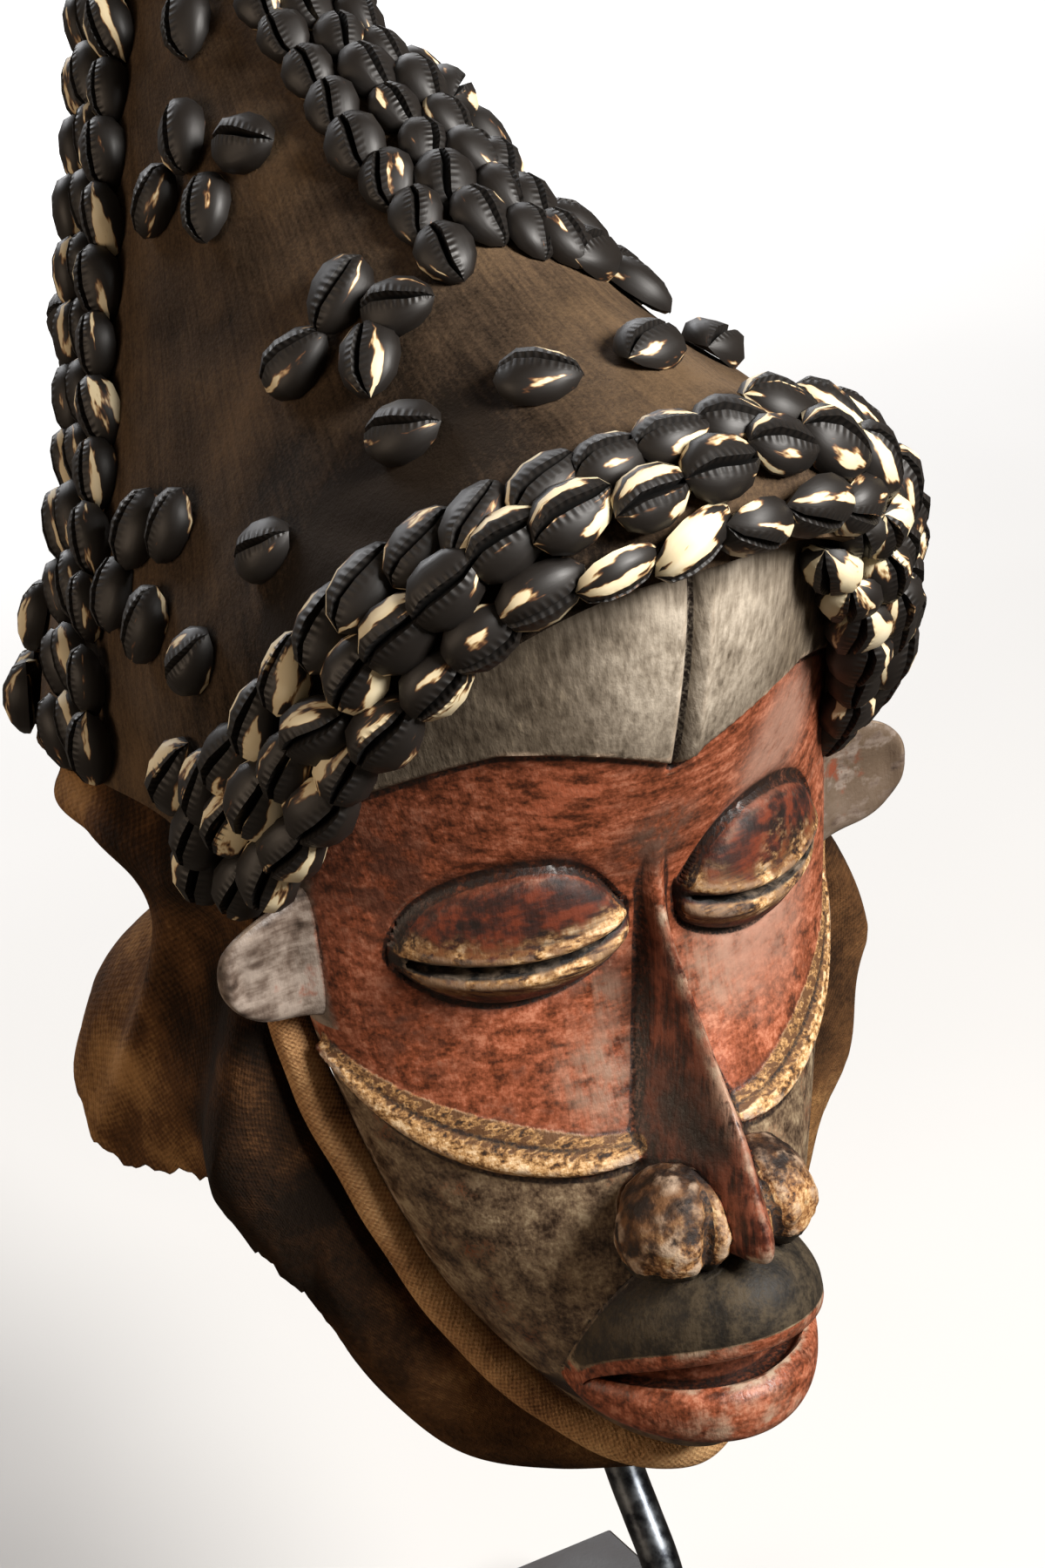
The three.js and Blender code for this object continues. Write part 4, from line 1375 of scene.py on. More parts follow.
@dataclass
class NeckCloth:
    """The coarse cloth that hangs from the hood and from behind the face, one piece all round."""

    thick: float = 2.0
    columns: int = 330
    rows: int = 90
    swell: float = 7.0
    pocket: float = 12.0
    fold: float = 2.6
    flute: float = 1.2
    crest: float = 3.5
    top: tuple[Point, ...] = (
        (0, -52, -181), (27, -35, -173), (46, -16, -154), (63, -2, -124), (75, 5, -89), (85, 10, -55), (88, 13, -22),
        (88, 26, 10), (92, 56, 14), (96, 96, 8), (88, 150, -8), (0, 205, -22))
    foot: tuple[Point, ...] = (
        (0, -44, -190), (28, -23, -194), (50, -6, -190), (68, 4, -168), (83, 9, -138), (94, 19, -112), (97, 46, -108),
        (98, 74, -116), (103, 112, -130), (107, 138, -112), (74, 150, -104), (0, 160, -102))

    def middle(self, u: Array, v: Array) -> Array:
        """Points of the hanging cloth, round from the front and down from the top.

        Args:
            u: place round from the front.
            v: place down from the top.

        Returns:
            Points in the mask's frame.
        """
        turn = 2 * u
        full = np.abs((turn + 1) % 2 - 1)
        side = np.where(turn % 2 > 1, -1.0, 1.0)
        top, foot = through(np.array(self.top, float), full), through(np.array(self.foot, float), full)
        point = mix(top, foot, v[:, None])
        away = np.stack([point[:, 0], (point[:, 1] - 70) * 0.8, np.zeros(len(u))], -1)
        away /= np.maximum(np.linalg.norm(away, axis=1, keepdims=True), 1e-6)
        swell = self.swell + self.pocket * np.clip(1 - np.abs(full - 0.5) / 0.12, 0, None)
        belly = swell * np.sin(np.pi * v) * np.clip(full * 4, 0, 1) * np.clip((0.75 - full) * 5, 0, 1)
        loose = ease((full - 0.3) / 0.15) * ease(v / 0.25)
        roll = 7 * hill(v - 0.12, 0.08) * ease((full - 0.62) / 0.08)  # it bulges under the hood's rear edge
        waist = -6 * hill(v - 0.42, 0.24) * ease((full - 0.58) / 0.12)
        waist -= 18 * hill(v - 0.45, 0.2) * ease((full - 0.72) / 0.1)
        fold = self.fold * np.sin(full * 31 * (1 + 0.12 * side) + 1.6 * np.sin(v * 2.6 + side))
        fold += self.flute * np.sin(v * 7 + full * 17 + side) + self.crest * hill(full - 0.7 - 0.05 * v, 0.025)
        point = point + away * (belly + fold * loose + roll + waist)[:, None]
        # threads torn out of its lower edge
        ragged = 1.1 * np.sin(full * 131) + 0.7 * np.sin(full * 307 + side) + 0.5 * np.sin(full * 523)
        point[:, 2] += loose * v**6 * ragged
        point[:, 0] *= side
        return point

    def build(self, finish: Finish) -> Piece:
        """Builds the cloth.

        Args:
            finish: the coarse cloth.

        Returns:
            The finished piece.
        """
        shape = bend_grid(self.columns, self.rows, self.middle)
        bmesh.ops.remove_doubles(shape, verts=shape.verts, dist=WELD * MM)
        bmesh.ops.recalc_face_normals(shape, faces=shape.faces)
        piece = make_object(shape, "hanging_neck_cloth", finish, 70)
        wall = piece.modifiers.new("Thickness", "SOLIDIFY")
        wall.thickness = self.thick * MM
        wall.offset = 0
        settle(piece)
        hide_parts("neck_cloth")
        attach(piece, "root")
        return piece


@dataclass
class StandRod:
    """The bent steel rod that carries the mask, with the round pad behind its forehead."""

    diameter: float = 12.0
    pad: float = 34.0
    pad_thick: float = 5.0
    pad_edge: float = 0.9
    route: tuple[tuple[float, float], ...] = (
        (-66, 34.35), (-66, 43), (-76, 64), (-83, 90), (-82, 113), (-77, 134), (-68, 149), (-60, 162), (-44, 195),
        (-28, 245), (-18, 305), (-14, 375), (-20, 435), (-48, 478), (-96, 488), (-148, 474))

    def skin(self, u: Array, v: Array) -> Array:
        """Points of the rod, round it and along it.

        Args:
            u: place round the rod.
            v: place along it.

        Returns:
            Points in millimetres in the stand's frame.
        """
        line = np.array([(0, y, z) for y, z in self.route], float)
        centre = through(line, v)
        way = through(line, np.clip(v + 0.003, 0, 1)) - through(line, np.clip(v - 0.003, 0, 1))
        way /= np.linalg.norm(way, axis=1, keepdims=True)
        out = np.repeat(np.array([[1.0, 0, 0]]), len(u), 0)
        over = np.cross(out, way)
        turn = (2 * np.pi * u)[:, None]
        return centre + (out * np.cos(turn) + over * np.sin(turn)) * self.diameter / 2

    def build(self, finish: Finish) -> Piece:
        """Builds the rod and its pad as one welded piece.

        Args:
            finish: the steel.

        Returns:
            The finished piece.
        """
        piece = make_object(close_up(bend_grid(36, 220, self.skin, seated=False)), "steel_mount_rod")
        shape = bmesh.new()
        bmesh.ops.create_cone(shape, cap_ends=True, segments=56, radius1=self.pad / 2 * MM, radius2=self.pad / 2 * MM,
                              depth=self.pad_thick * MM)
        rims = [e for e in shape.edges if e.calc_face_angle(0) > 1]
        bmesh.ops.bevel(shape, geom=rims, offset=self.pad_edge * MM, offset_type="OFFSET", affect="EDGES", segments=3,
                        profile=0.5, material=-1)
        (ay, az), (by, bz) = self.route[-2:]
        way = Vector((0, by - ay, bz - az)).normalized()
        bmesh.ops.transform(shape, matrix=way.to_track_quat("Z", "Y").to_matrix().to_4x4(), verts=shape.verts)
        bmesh.ops.translate(shape, vec=Vector((0, by, bz)) * MM, verts=shape.verts)
        carve(piece, make_object(shape, "tool"), Carving.ADD)
        smooth(piece, 40)
        piece.data.materials.clear()
        piece.data.materials.append(finish)
        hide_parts("mount_rod")
        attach(piece, "root")
        return piece


@dataclass(frozen=True)
class Spot:
    """A soft round place on the mask: its centre in the mask's frame and its radius, in millimetres."""

    centre: Point
    radius: float


@dataclass(frozen=True)
class Edge:
    """Where a coat stops: a value that rises from low to high, made ragged where a noise shifts it by an amount."""

    source: str | Spot
    low: float
    high: float
    rough: str = ""
    amount: float = 0.0


@dataclass(frozen=True)
class Coat:
    """One coat: a paint's name or a hex colour, and the masks within which it lies."""

    over: str
    where: tuple[Edge | Spot | str, ...]


@dataclass(frozen=True)
class Paint:
    """One paint: the noise that its colours follow, the colours, and the coats laid on it."""

    pattern: str
    stops: Stops
    coats: tuple[Coat, ...] = ()


@dataclass(frozen=True)
class Grain:
    """One noise on the wood: its cells' width in millimetres, how they are drawn out, their detail and turn."""

    size: float
    stretch: Point = (1.0, 1.0, 1.0)
    detail: float = 4.0
    turn: float = 0.0


@dataclass(frozen=True)
class PaintedWood:
    """Carved hardwood under old earth paints: dull, streaked by the brush and rubbed to grey wood on its edges.

    Every paint, coat and mask is a row of a table, and the rows are laid one over another in their order.
    """

    # colour of the painted shade in the mouth and in the creases
    painted_shade: ClassVar[str] = "1c1310"
    rubbed: ClassVar[str] = "a08c78"
    grains: ClassVar[dict[str, Grain]] = {
        "broad": Grain(18.182),  # clouds of smoke and handling, about as wide as a thumb
        "patchy": Grain(7.692, detail=5.0),  # flakes of paint, the size of a fingernail
        "fine": Grain(1.25),  # the paint's grit, really 0.2 mm: drawn coarser, so that it shows
        "upright": Grain(1.613, (1.0, 1.0, 0.07), 3.0),  # the wood's grain, which stands upright
        "strokes": Grain(3.333, (0.14, 1.0, 1.0), 5.0, 0.6),  # marks of a brush drawn sideways, at a slant
        "level": Grain(2.381, (0.08, 1.0, 1.0), 4.0, -0.1),  # streaks of thick paint along the lids and crescents
    }
    blends: ClassVar[dict[str, tuple[str, str, float]]] = {
        "dappled": ("strokes", "patchy", 0.35), "brushed": ("dappled", "fine", 0.28),
        "scuffed": ("upright", "patchy", 0.6), "washed": ("level", "patchy", 0.5),
        "earthy": ("patchy", "fine", 0.35), "cloudy": ("patchy", "broad", 0.4),
        "worked": ("cloudy", "upright", 0.42), "flaky": ("level", "fine", 0.35),
        "handled": ("cloudy", "level", 0.25), "drawn": ("patchy", "upright", 0.4),
        "lidded": ("patchy", "level", 0.4), "crumbly": ("patchy", "fine", 0.5), "crusty": ("patchy", "fine", 0.4),
    }
    zones: ClassVar[tuple[str, ...]] = (
        "wear", "band_side", "lid_rise", "lid", "lobe", "ear", "forehead", "band", "lip_dark", "slit", "lower",
        "nose", "lobe_pale", "lip_red", "mouth", "bare")
    edges: ClassVar[dict[str, Edge]] = {
        "on_lid": Edge("lid", 0.1, 1.2),
        "on_lobe": Edge("lobe", 0.0, 0.5),
        "on_ear": Edge("ear", -0.5, 1.5, "fine", 2.0),
        "on_forehead": Edge("forehead", -0.3, 0.5, "fine", 0.8),
        "on_band": Edge("band", -0.5, 0.5, "fine", 1.2),
        "on_lip": Edge("lip_dark", 0.0, 0.5, "fine", 1.2),
        "in_slit": Edge("slit", -0.1, 0.8, "fine", 0.8),
    }
    ochre: ClassVar[Stops] = ((0.38, "2c1b0e"), (0.44, "6e4c29"), (0.51, "b28a5a"), (0.61, "dcc09a"))
    red_coats: ClassVar[tuple[Coat, ...]] = (
        Coat("4a271a", (Edge("broad", 0.50, 0.72), Edge("strokes", 0.42, 0.66))),
        # darker patches, most on the mask's right side away from the key light and beside the nose: painted shade
        *(Coat("3a2219", (Edge(Spot(centre, radius), 0.0, 1.4), Edge("patchy", 0.38, 0.56))) for centre, radius in (
            ((-16, -54, -12), 24), ((-72, -34, 24), 42), ((-72, -36, -22), 34), ((-4, -56, 28), 20))),
        *(Coat("9f5439", (Edge(Spot(centre, 24), 0.0, 1.6), Edge("strokes", 0.42, 0.6))) for centre in (
            (-46, -58, -34), (44, -58, -28), (-30, -62, 50))),
        *(Coat(tone, (Edge(Spot(centre, radius), 0.0, 1.3), Edge("scuffed", 0.34, 0.62))) for centre, radius, tone in (
            ((-20, -58, -38), 26, "7f6757"), ((-17, -56, -16), 15, "7f6757"), ((22, -56, -18), 28, "8f7766"),
            ((2, -58, 34), 18, "574237"))),
        # greyer patches on the mask's left cheek and brow, where the key light falls: painted sheen, with rubbed paint
        *(Coat("977363", (Edge(Spot(centre, radius), 0.0, 1.2), Edge("washed", 0.22, 0.52))) for centre, radius in (
            ((46, -52, -10), 46), ((46, -50, 46), 34))),
    )
    paints: ClassVar[dict[str, Paint]] = {
        "red_earth": Paint("brushed", ((0.40, "401f12"), (0.47, "6d3822"), (0.53, "8d4d34"), (0.60, "ab6d53")),
                           red_coats),
        "chin_earth": Paint("earthy", ((0.38, "2a1e15"), (0.46, "524233"), (0.54, "72604b"), (0.63, "93836a")),
                            (Coat("6d4028", (Edge("broad", 0.52, 0.72), Edge("fine", 0.45, 0.6))),)),
        # the pale grey laid mid-forehead on the grey clay below: painted highlight, with rubbed paint
        "silver_clay": Paint("worked", ((0.34, "564c40"), (0.47, "918677"), (0.62, "bdb2a2"))),
        "grey_clay": Paint("worked", ((0.33, "2b231b"), (0.44, "50463a"), (0.56, "6b6052"), (0.68, "8a7d69")),
                           (Coat("silver_clay", (Spot((2, -80, 96), 46),)),)),
        "pale_ochre": Paint("flaky", ochre),
        "lid_ochre": Paint("flaky", ochre, (Coat("664421", (Edge("cloudy", 0.42, 0.56),)),)),
        "knob_ochre": Paint("crumbly", ((0.40, "2c190c"), (0.47, "714a27"), (0.53, "9e754a"), (0.62, "c6a87c"))),
        "knob_soil": Paint("patchy", ((0.40, "1a0f08"), (0.49, "3a2413"), (0.60, "65452a")),
                           (Coat("knob_ochre", (Edge("lobe_pale", -0.25, 0.5, "patchy", 1.5),)),)),
        "ear_grey": Paint("handled", ((0.37, "2a211b"), (0.45, "594c43"), (0.55, "877b71"))),
        "nose_red": Paint("drawn", ((0.39, "27110b"), (0.47, "54281a"), (0.56, "844833")), (
            # near-black on the nose's side toward the mask's right, away from the key light: painted shade
            Coat("120704", (Edge(Spot((-26, -80, -42), 40), 0.1, 0.8),)),
            Coat("red_earth", (Spot((0, -56, 22), 26),)),
            # pale grey on the nose's lit side: painted highlight, with rubbed paint
            Coat("b08d78", (Edge(Spot((14, -88, -34), 26), 0.1, 1.0), Edge("upright", 0.4, 0.55))))),
        "lid_red": Paint("lidded", ((0.39, "140602"), (0.48, "301106"), (0.59, "5c240d"))),
        "lip_black": Paint("earthy", ((0.39, "110d08"), (0.48, "241d13"), (0.60, "3f3526"))),
    }
    layers: ClassVar[tuple[Coat, ...]] = (
        Coat("chin_earth", (Edge("lower", 0.5, 2.0, "broad", 4.0),)),
        Coat("ear_grey", ("on_ear",)),
        Coat("56483b", ("on_ear", Edge("patchy", 0.4, 0.52), Spot((98, -6, 8), 60))),
        Coat("6f3a28", ("on_ear", Edge("broad", 0.57, 0.67), Edge("patchy", 0.42, 0.55))),
        Coat("nose_red", (Edge("nose", 0.0, 0.6),)),
        # a dark ring in the gutter round each lid: painted shade
        Coat("27180f", (Edge("lid", -2.8, -0.8, "patchy", 2.0), Edge("lid", 1.0, 0.0), Edge("patchy", 0.32, 0.54))),
        Coat("lid_red", ("on_lid",)),
        Coat("lid_ochre", (Edge("lid_rise", 1.8, 2.8, "fine", 1.0), Edge("lid_rise", 12.0, 3.5, "patchy", 9.0),
                           Edge("level", 0.34, 0.50), "on_lid")),
        Coat("lid_ochre", (Edge("lid_rise", -1.8, -2.8, "fine", 1.0), Edge("lid_rise", -10.5, -8.0, "patchy", 4.0),
                           Edge("level", 0.34, 0.50), "on_lid")),
        Coat("lid_ochre", (Spot((46, -62, 12), 18), Edge("level", 0.45, 0.58), "on_lid")),
        # near-black on the walls of the eye slits: painted shade
        Coat("0c0907", ("on_lid", "in_slit")),
        Coat("pale_ochre", ("on_band",)),
        Coat("55381f", (Edge("band_side", -0.15, 0.4, "level", 1.2), Edge("level", 0.44, 0.54), "on_band")),
        Coat("knob_soil", ("on_lobe",)),
        Coat("grey_clay", ("on_forehead",)),
        Coat("lip_black", ("on_lip",)),
        Coat("red_earth", (Edge("lip_red", 0.0, 0.5, "fine", 1.2),)),
        # darker the deeper it lies behind the lips: painted shade in the mouth
        Coat(painted_shade, (Edge("mouth", 6.0, 17.0, "patchy", 4.0),)),
        # dark where the wood lies deeper than its neighbours: painted shade in creases and hollows
        Coat(painted_shade, (Edge("wear", -0.012, -0.05, "patchy", 0.02), Edge("on_ear", 0.6, 0.2), Edge("fine", 0.2, 0.6))),
        Coat(rubbed, (Edge("wear", 0.03, 0.11, "fine", 0.07), Edge("patchy", 0.40, 0.58),
                      Edge("lip_dark", 0.5, -0.5), Edge("on_lid", 1.6, 0.2), Edge("broad", 0.35, 0.6))),
        Coat("2e231a", ("bare",)),
    )

    def mask(self, tree: Tree, marks: dict[str, Socket], rule: Edge | Spot | str) -> Socket:
        """Turns a rule into a soft mask between 0 and 1.

        Args:
            tree: the node tree.
            marks: the sockets known so far by name.
            rule: an edge, a round place or a known name.

        Returns:
            The mask's socket.
        """
        if isinstance(rule, str):
            return marks[rule]
        if isinstance(rule, Spot):
            centre = seat(np.array([rule.centre]))[0].tolist()
            away = add(tree, "VectorMath", {"operation": "DISTANCE", "1": centre}, {0: marks["place"]})
            source, low = away.outputs["Value"], rule.radius * MM
            high, rough, amount = low * 0.2, "broad", low * 0.5
        else:
            source, low, high = self.mask(tree, marks, rule.source), rule.low, rule.high
            rough, amount = rule.rough, rule.amount
        if rough:
            shift = add(tree, "Math", {"operation": "MULTIPLY_ADD", "1": amount, "2": -amount / 2}, {0: marks[rough]})
            source = add(tree, "Math", {"operation": "ADD"}, {0: source, 1: shift}).outputs[0]
        return add(tree, "MapRange", {"interpolation_type": "SMOOTHSTEP", "From Min": low, "From Max": high},
                   {"Value": source}).outputs["Result"]

    def lay(self, tree: Tree, marks: dict[str, Socket], colour: Socket, coats: Sequence[Coat]) -> Socket:
        """Lays coats over a colour, one after another.

        Args:
            tree: the node tree.
            marks: the sockets known so far by name.
            colour: the colour below.
            coats: the coats; each lies where all its masks overlap.

        Returns:
            The resulting colour.
        """
        for coat in coats:
            share, *others = (self.mask(tree, marks, rule) for rule in coat.where)
            for other in others:
                share = add(tree, "Math", {"operation": "MULTIPLY"}, {0: share, 1: other}).outputs[0]
            settings: dict[str, Any] = {"data_type": "RGBA"}
            links = {0: share, 6: colour}
            if coat.over in marks:
                links[7] = marks[coat.over]
            else:
                settings["7"] = linear(coat.over)
            colour = add(tree, "Mix", settings, links).outputs[2]
        return colour

    def marks(self, tree: Tree) -> dict[str, Socket]:
        """Sets up the noises, the values kept on the wood, the masks made from them and the paints.

        Args:
            tree: the node tree.

        Returns:
            Their sockets by name.
        """
        marks = {"place": add(tree, "TexCoord").outputs["Object"]}
        for name, grain in self.grains.items():
            mapped = add(tree, "Mapping", {"Rotation": (0.0, grain.turn, 0.0), "Scale": grain.stretch},
                         {"Vector": marks["place"]})
            marks[name] = add(tree, "TexNoise", {
                "Scale": cells(grain.size), "Detail": grain.detail, "Roughness": 0.6},
                {"Vector": mapped}).outputs["Fac"]
        for name, (first, second, share) in self.blends.items():
            marks[name] = add(tree, "Mix", {"0": share}, {2: marks[first], 3: marks[second]}).outputs[0]
        for name in self.zones:
            marks[name] = add(tree, "Attribute", {"attribute_name": name}).outputs["Fac"]
        for name, edge in self.edges.items():
            marks[name] = self.mask(tree, marks, edge)
        for name, paint in self.paints.items():
            colour = add(tree, "ValToRGB", {"stops": paint.stops}, {"Fac": marks[paint.pattern]}).outputs[0]
            marks[name] = self.lay(tree, marks, colour, paint.coats)
        return marks

    def build(self) -> Finish:
        """Builds the material.

        Returns:
            The finished material.
        """
        material, tree, surface = blank_material("old_painted_carved_wood")
        marks = self.marks(tree)
        colour = self.lay(tree, marks, marks["red_earth"], self.layers)
        gloss = add(tree, "MapRange", {"From Min": 0.35, "From Max": 0.65, "To Min": 0.34, "To Max": 0.56},
                    {"Value": marks["crumbly"]})
        crusted = dulled = add(tree, "Math", {"operation": "MAXIMUM"}, {0: marks["on_lobe"], 1: marks["on_band"]})
        for name in ("on_lid", "on_lip"):
            dulled = add(tree, "Math", {"operation": "MAXIMUM"}, {0: dulled, 1: marks[name]})
        gloss = add(tree, "Math", {"operation": "MULTIPLY_ADD", "1": 0.25}, {0: dulled, 2: gloss})
        grooves = add(tree, "Bump", {"Strength": 0.3, "Distance": 0.8 * MM}, {"Height": marks["upright"]})
        crust = add(tree, "Math", {"operation": "MULTIPLY_ADD", "1": 1.6}, {0: crusted, 2: marks["patchy"]})
        crust = add(tree, "Math", {"operation": "MULTIPLY"}, {0: crust, 1: marks["crusty"]})
        bumps = add(tree, "Bump", {"Strength": 0.35, "Distance": 1.4 * MM}, {"Height": crust, "Normal": grooves})
        fill(tree, surface, {"Specular IOR Level": 0.36}, {"Base Color": colour, "Roughness": gloss, "Normal": bumps})
        return material


@dataclass(frozen=True)
class DarkHide:
    """Thin brown hide, felted and matt with age: its nap lifts the light at the edges and hides any gloss."""

    dark: str = "150e08"
    middle: str = "3f3226"
    light: str = "5e4b37"
    sheen: str = "c9a884"
    painted_light_spot: Point = (0.003, -0.130, 0.531)  # a place of painted light on the hood's front and one of painted shade behind the brow band, in metres on the stand
    painted_shade_spot: Point = (-0.067, -0.126, 0.492)
    grain: Point = (330.0, 16.0, 1.0)  # lines round the flat map and up it, coarser than hair so that they show

    def build(self) -> Finish:
        """Builds the material.

        Returns:
            The finished material.
        """
        material, tree, surface = blank_material("felted_brown_hide")
        place = add(tree, "TexCoord").outputs["Object"]
        broad = add(tree, "TexNoise", {"Scale": cells(38.46), "Detail": 5.0, "Roughness": 0.6},
                    {"Vector": place})  # stains and soft folds
        nap = add(tree, "TexNoise", {"Scale": cells(1.111), "Detail": 5.0, "Roughness": 0.7},
                  {"Vector": place})  # the nap, really 0.3 mm: drawn coarser, so that it shows
        flat = add(tree, "UVMap", {"uv_map": "UVMap"}).outputs["UV"]
        drawn = add(tree, "Mapping", {"Scale": self.grain, "Rotation": (0.0, 0.0, 0.04)}, {"Vector": flat})
        lines = add(tree, "TexNoise", {"Scale": 1.0, "Detail": 4.0}, {"Vector": drawn})
        both = add(tree, "Mix", {"0": 0.4}, {2: broad, 3: nap})
        tone = add(tree, "Mix", {"0": 0.2}, {2: both, 3: lines})
        # a lighter place on the hood's front, where the key light falls: painted light; a darker one behind the brow
        # band on the shaded side: painted shade
        for centre, near, amount in ((self.painted_light_spot, 0.085, 0.03), (self.painted_shade_spot, 0.1, -0.24)):
            away = add(tree, "VectorMath", {"operation": "DISTANCE", "1": centre}, {0: place})
            hide_light_and_shade = add(tree, "MapRange", {
                "interpolation_type": "SMOOTHSTEP", "From Min": near, "From Max": 0.0, "To Max": amount},
                {"Value": away.outputs["Value"]})
            tone = add(tree, "Math", {"operation": "ADD"}, {0: tone, 1: hide_light_and_shade})
        stops = ((0.36, self.dark), (0.48, self.middle), (0.62, self.light))
        shade = add(tree, "ValToRGB", {"stops": stops}, {"Fac": tone})
        creases = add(tree, "Bump", {"Strength": 0.6, "Distance": 4 * MM}, {"Height": broad})
        fibres = add(tree, "Bump", {"Strength": 0.45, "Distance": 1.2 * MM}, {"Height": nap, "Normal": creases})
        fill(tree, surface, {
            "Roughness": 0.85, "Specular IOR Level": 0.12, "Sheen Weight": 0.06, "Sheen Tint": linear(self.sheen),
            "Sheen Roughness": 0.5}, {"Base Color": shade, "Normal": fibres})
        return material


@dataclass(frozen=True)
class DarkCowrie:
    """Cowrie shell stained black and rubbed back: a satin glaze, ivory where worn, orange-brown at the edge of wear."""

    black: str = "16120f"
    ivory: str = "d6c7a3"
    border: str = "4e301a"
    worn: str = "a5875f"
    bright: str = "ded2b4"
    # near-black down the mouth's slit: painted shade
    mouth: str = "060504"
    # near-black between the teeth: painted shade
    groove: str = "0b0908"
    teeth: float = 15.0
    patches: Point = (5.5, 1.5, 0.0)  # how many rubbed patches fit across a shell's flat map and along it

    def build(self) -> Finish:
        """Builds the material.

        Returns:
            The finished material.
        """
        material, tree, surface = blank_material("stained_cowrie_shell")
        flat = add(tree, "UVMap", {"uv_map": "UVMap"}).outputs["UV"]
        tone = add(tree, "Attribute", {"attribute_name": "tone"}).outputs["Fac"]
        parts = add(tree, "SeparateXYZ", links={0: flat})
        aside = add(tree, "Math", {"operation": "SUBTRACT", "1": 0.5}, {0: parts})
        aside = add(tree, "Math", {"operation": "ABSOLUTE"}, {0: aside})
        shift = add(tree, "CombineXYZ", links={2: tone})
        spread = add(tree, "VectorMath", {"operation": "MULTIPLY_ADD", "1": self.patches}, {0: flat, 2: shift})
        blotch = add(tree, "TexNoise", {"Scale": 1.0, "Detail": 4.0, "Roughness": 0.5}, {"Vector": spread})
        stops = ((0.0, 0.0), (0.14, 0.0), (0.21, 0.11), (0.29, 0.16), (0.36, 0.06), (0.46, 0.13))
        bias = add(tree, "ValToRGB", {"stops": stops}, {"Fac": aside})
        amount = add(tree, "Attribute", {"attribute_name": "worn"}).outputs["Fac"]
        bias = add(tree, "Math", {"operation": "MULTIPLY_ADD", "1": 0.30}, {0: amount, 2: bias})
        worn = add(tree, "Math", {"operation": "ADD"}, {0: blotch, 1: bias})
        stops = ((0.0, self.black), (0.765, self.black), (0.78, self.border), (0.795, self.worn),
                 (0.81, self.ivory), (1.0, self.bright))
        shade = add(tree, "ValToRGB", {"stops": stops}, {"Fac": worn})
        # the mouth's slit darkened to near-black: painted shade
        mouth = add(tree, "MapRange", {
            "interpolation_type": "SMOOTHSTEP", "From Min": 0.08, "From Max": 0.03}, {"Value": aside})
        shade = add(tree, "Mix", {"data_type": "RGBA", "7": linear(self.mouth)}, {0: mouth, 6: shade}).outputs[2]
        angle = add(tree, "Math", {"operation": "MULTIPLY", "1": self.teeth * 2 * math.pi}, {0: parts.outputs[1]})
        comb = add(tree, "Math", {"operation": "SINE"}, {0: angle})
        lips = add(tree, "ValToRGB", {"stops": ((0.05, 0.0), (0.09, 1.0), (0.14, 0.8), (0.22, 0.0))}, {"Fac": aside})
        comb = add(tree, "Math", {"operation": "MULTIPLY"}, {0: comb, 1: lips})
        # the gaps between the teeth darkened: painted shade
        groove = add(tree, "MapRange", {
            "interpolation_type": "SMOOTHSTEP", "From Min": -0.1, "From Max": -0.7, "To Max": 0.85},
            {"Value": comb})
        shade = add(tree, "Mix", {"data_type": "RGBA", "7": linear(self.groove)}, {0: groove, 6: shade}).outputs[2]
        gloss = add(tree, "MapRange", {"From Min": 0.3, "From Max": 0.75, "To Min": 0.46, "To Max": 0.64},
                    {"Value": blotch})
        ridges = add(tree, "Bump", {"Strength": 0.35, "Distance": 0.4 * MM}, {"Height": comb})
        pits = add(tree, "Bump", {"Strength": 0.25, "Distance": 0.8 * MM}, {"Height": blotch, "Normal": ridges})
        fill(tree, surface, {"Specular IOR Level": 0.42}, {"Base Color": shade, "Roughness": gloss, "Normal": pits})
        return material


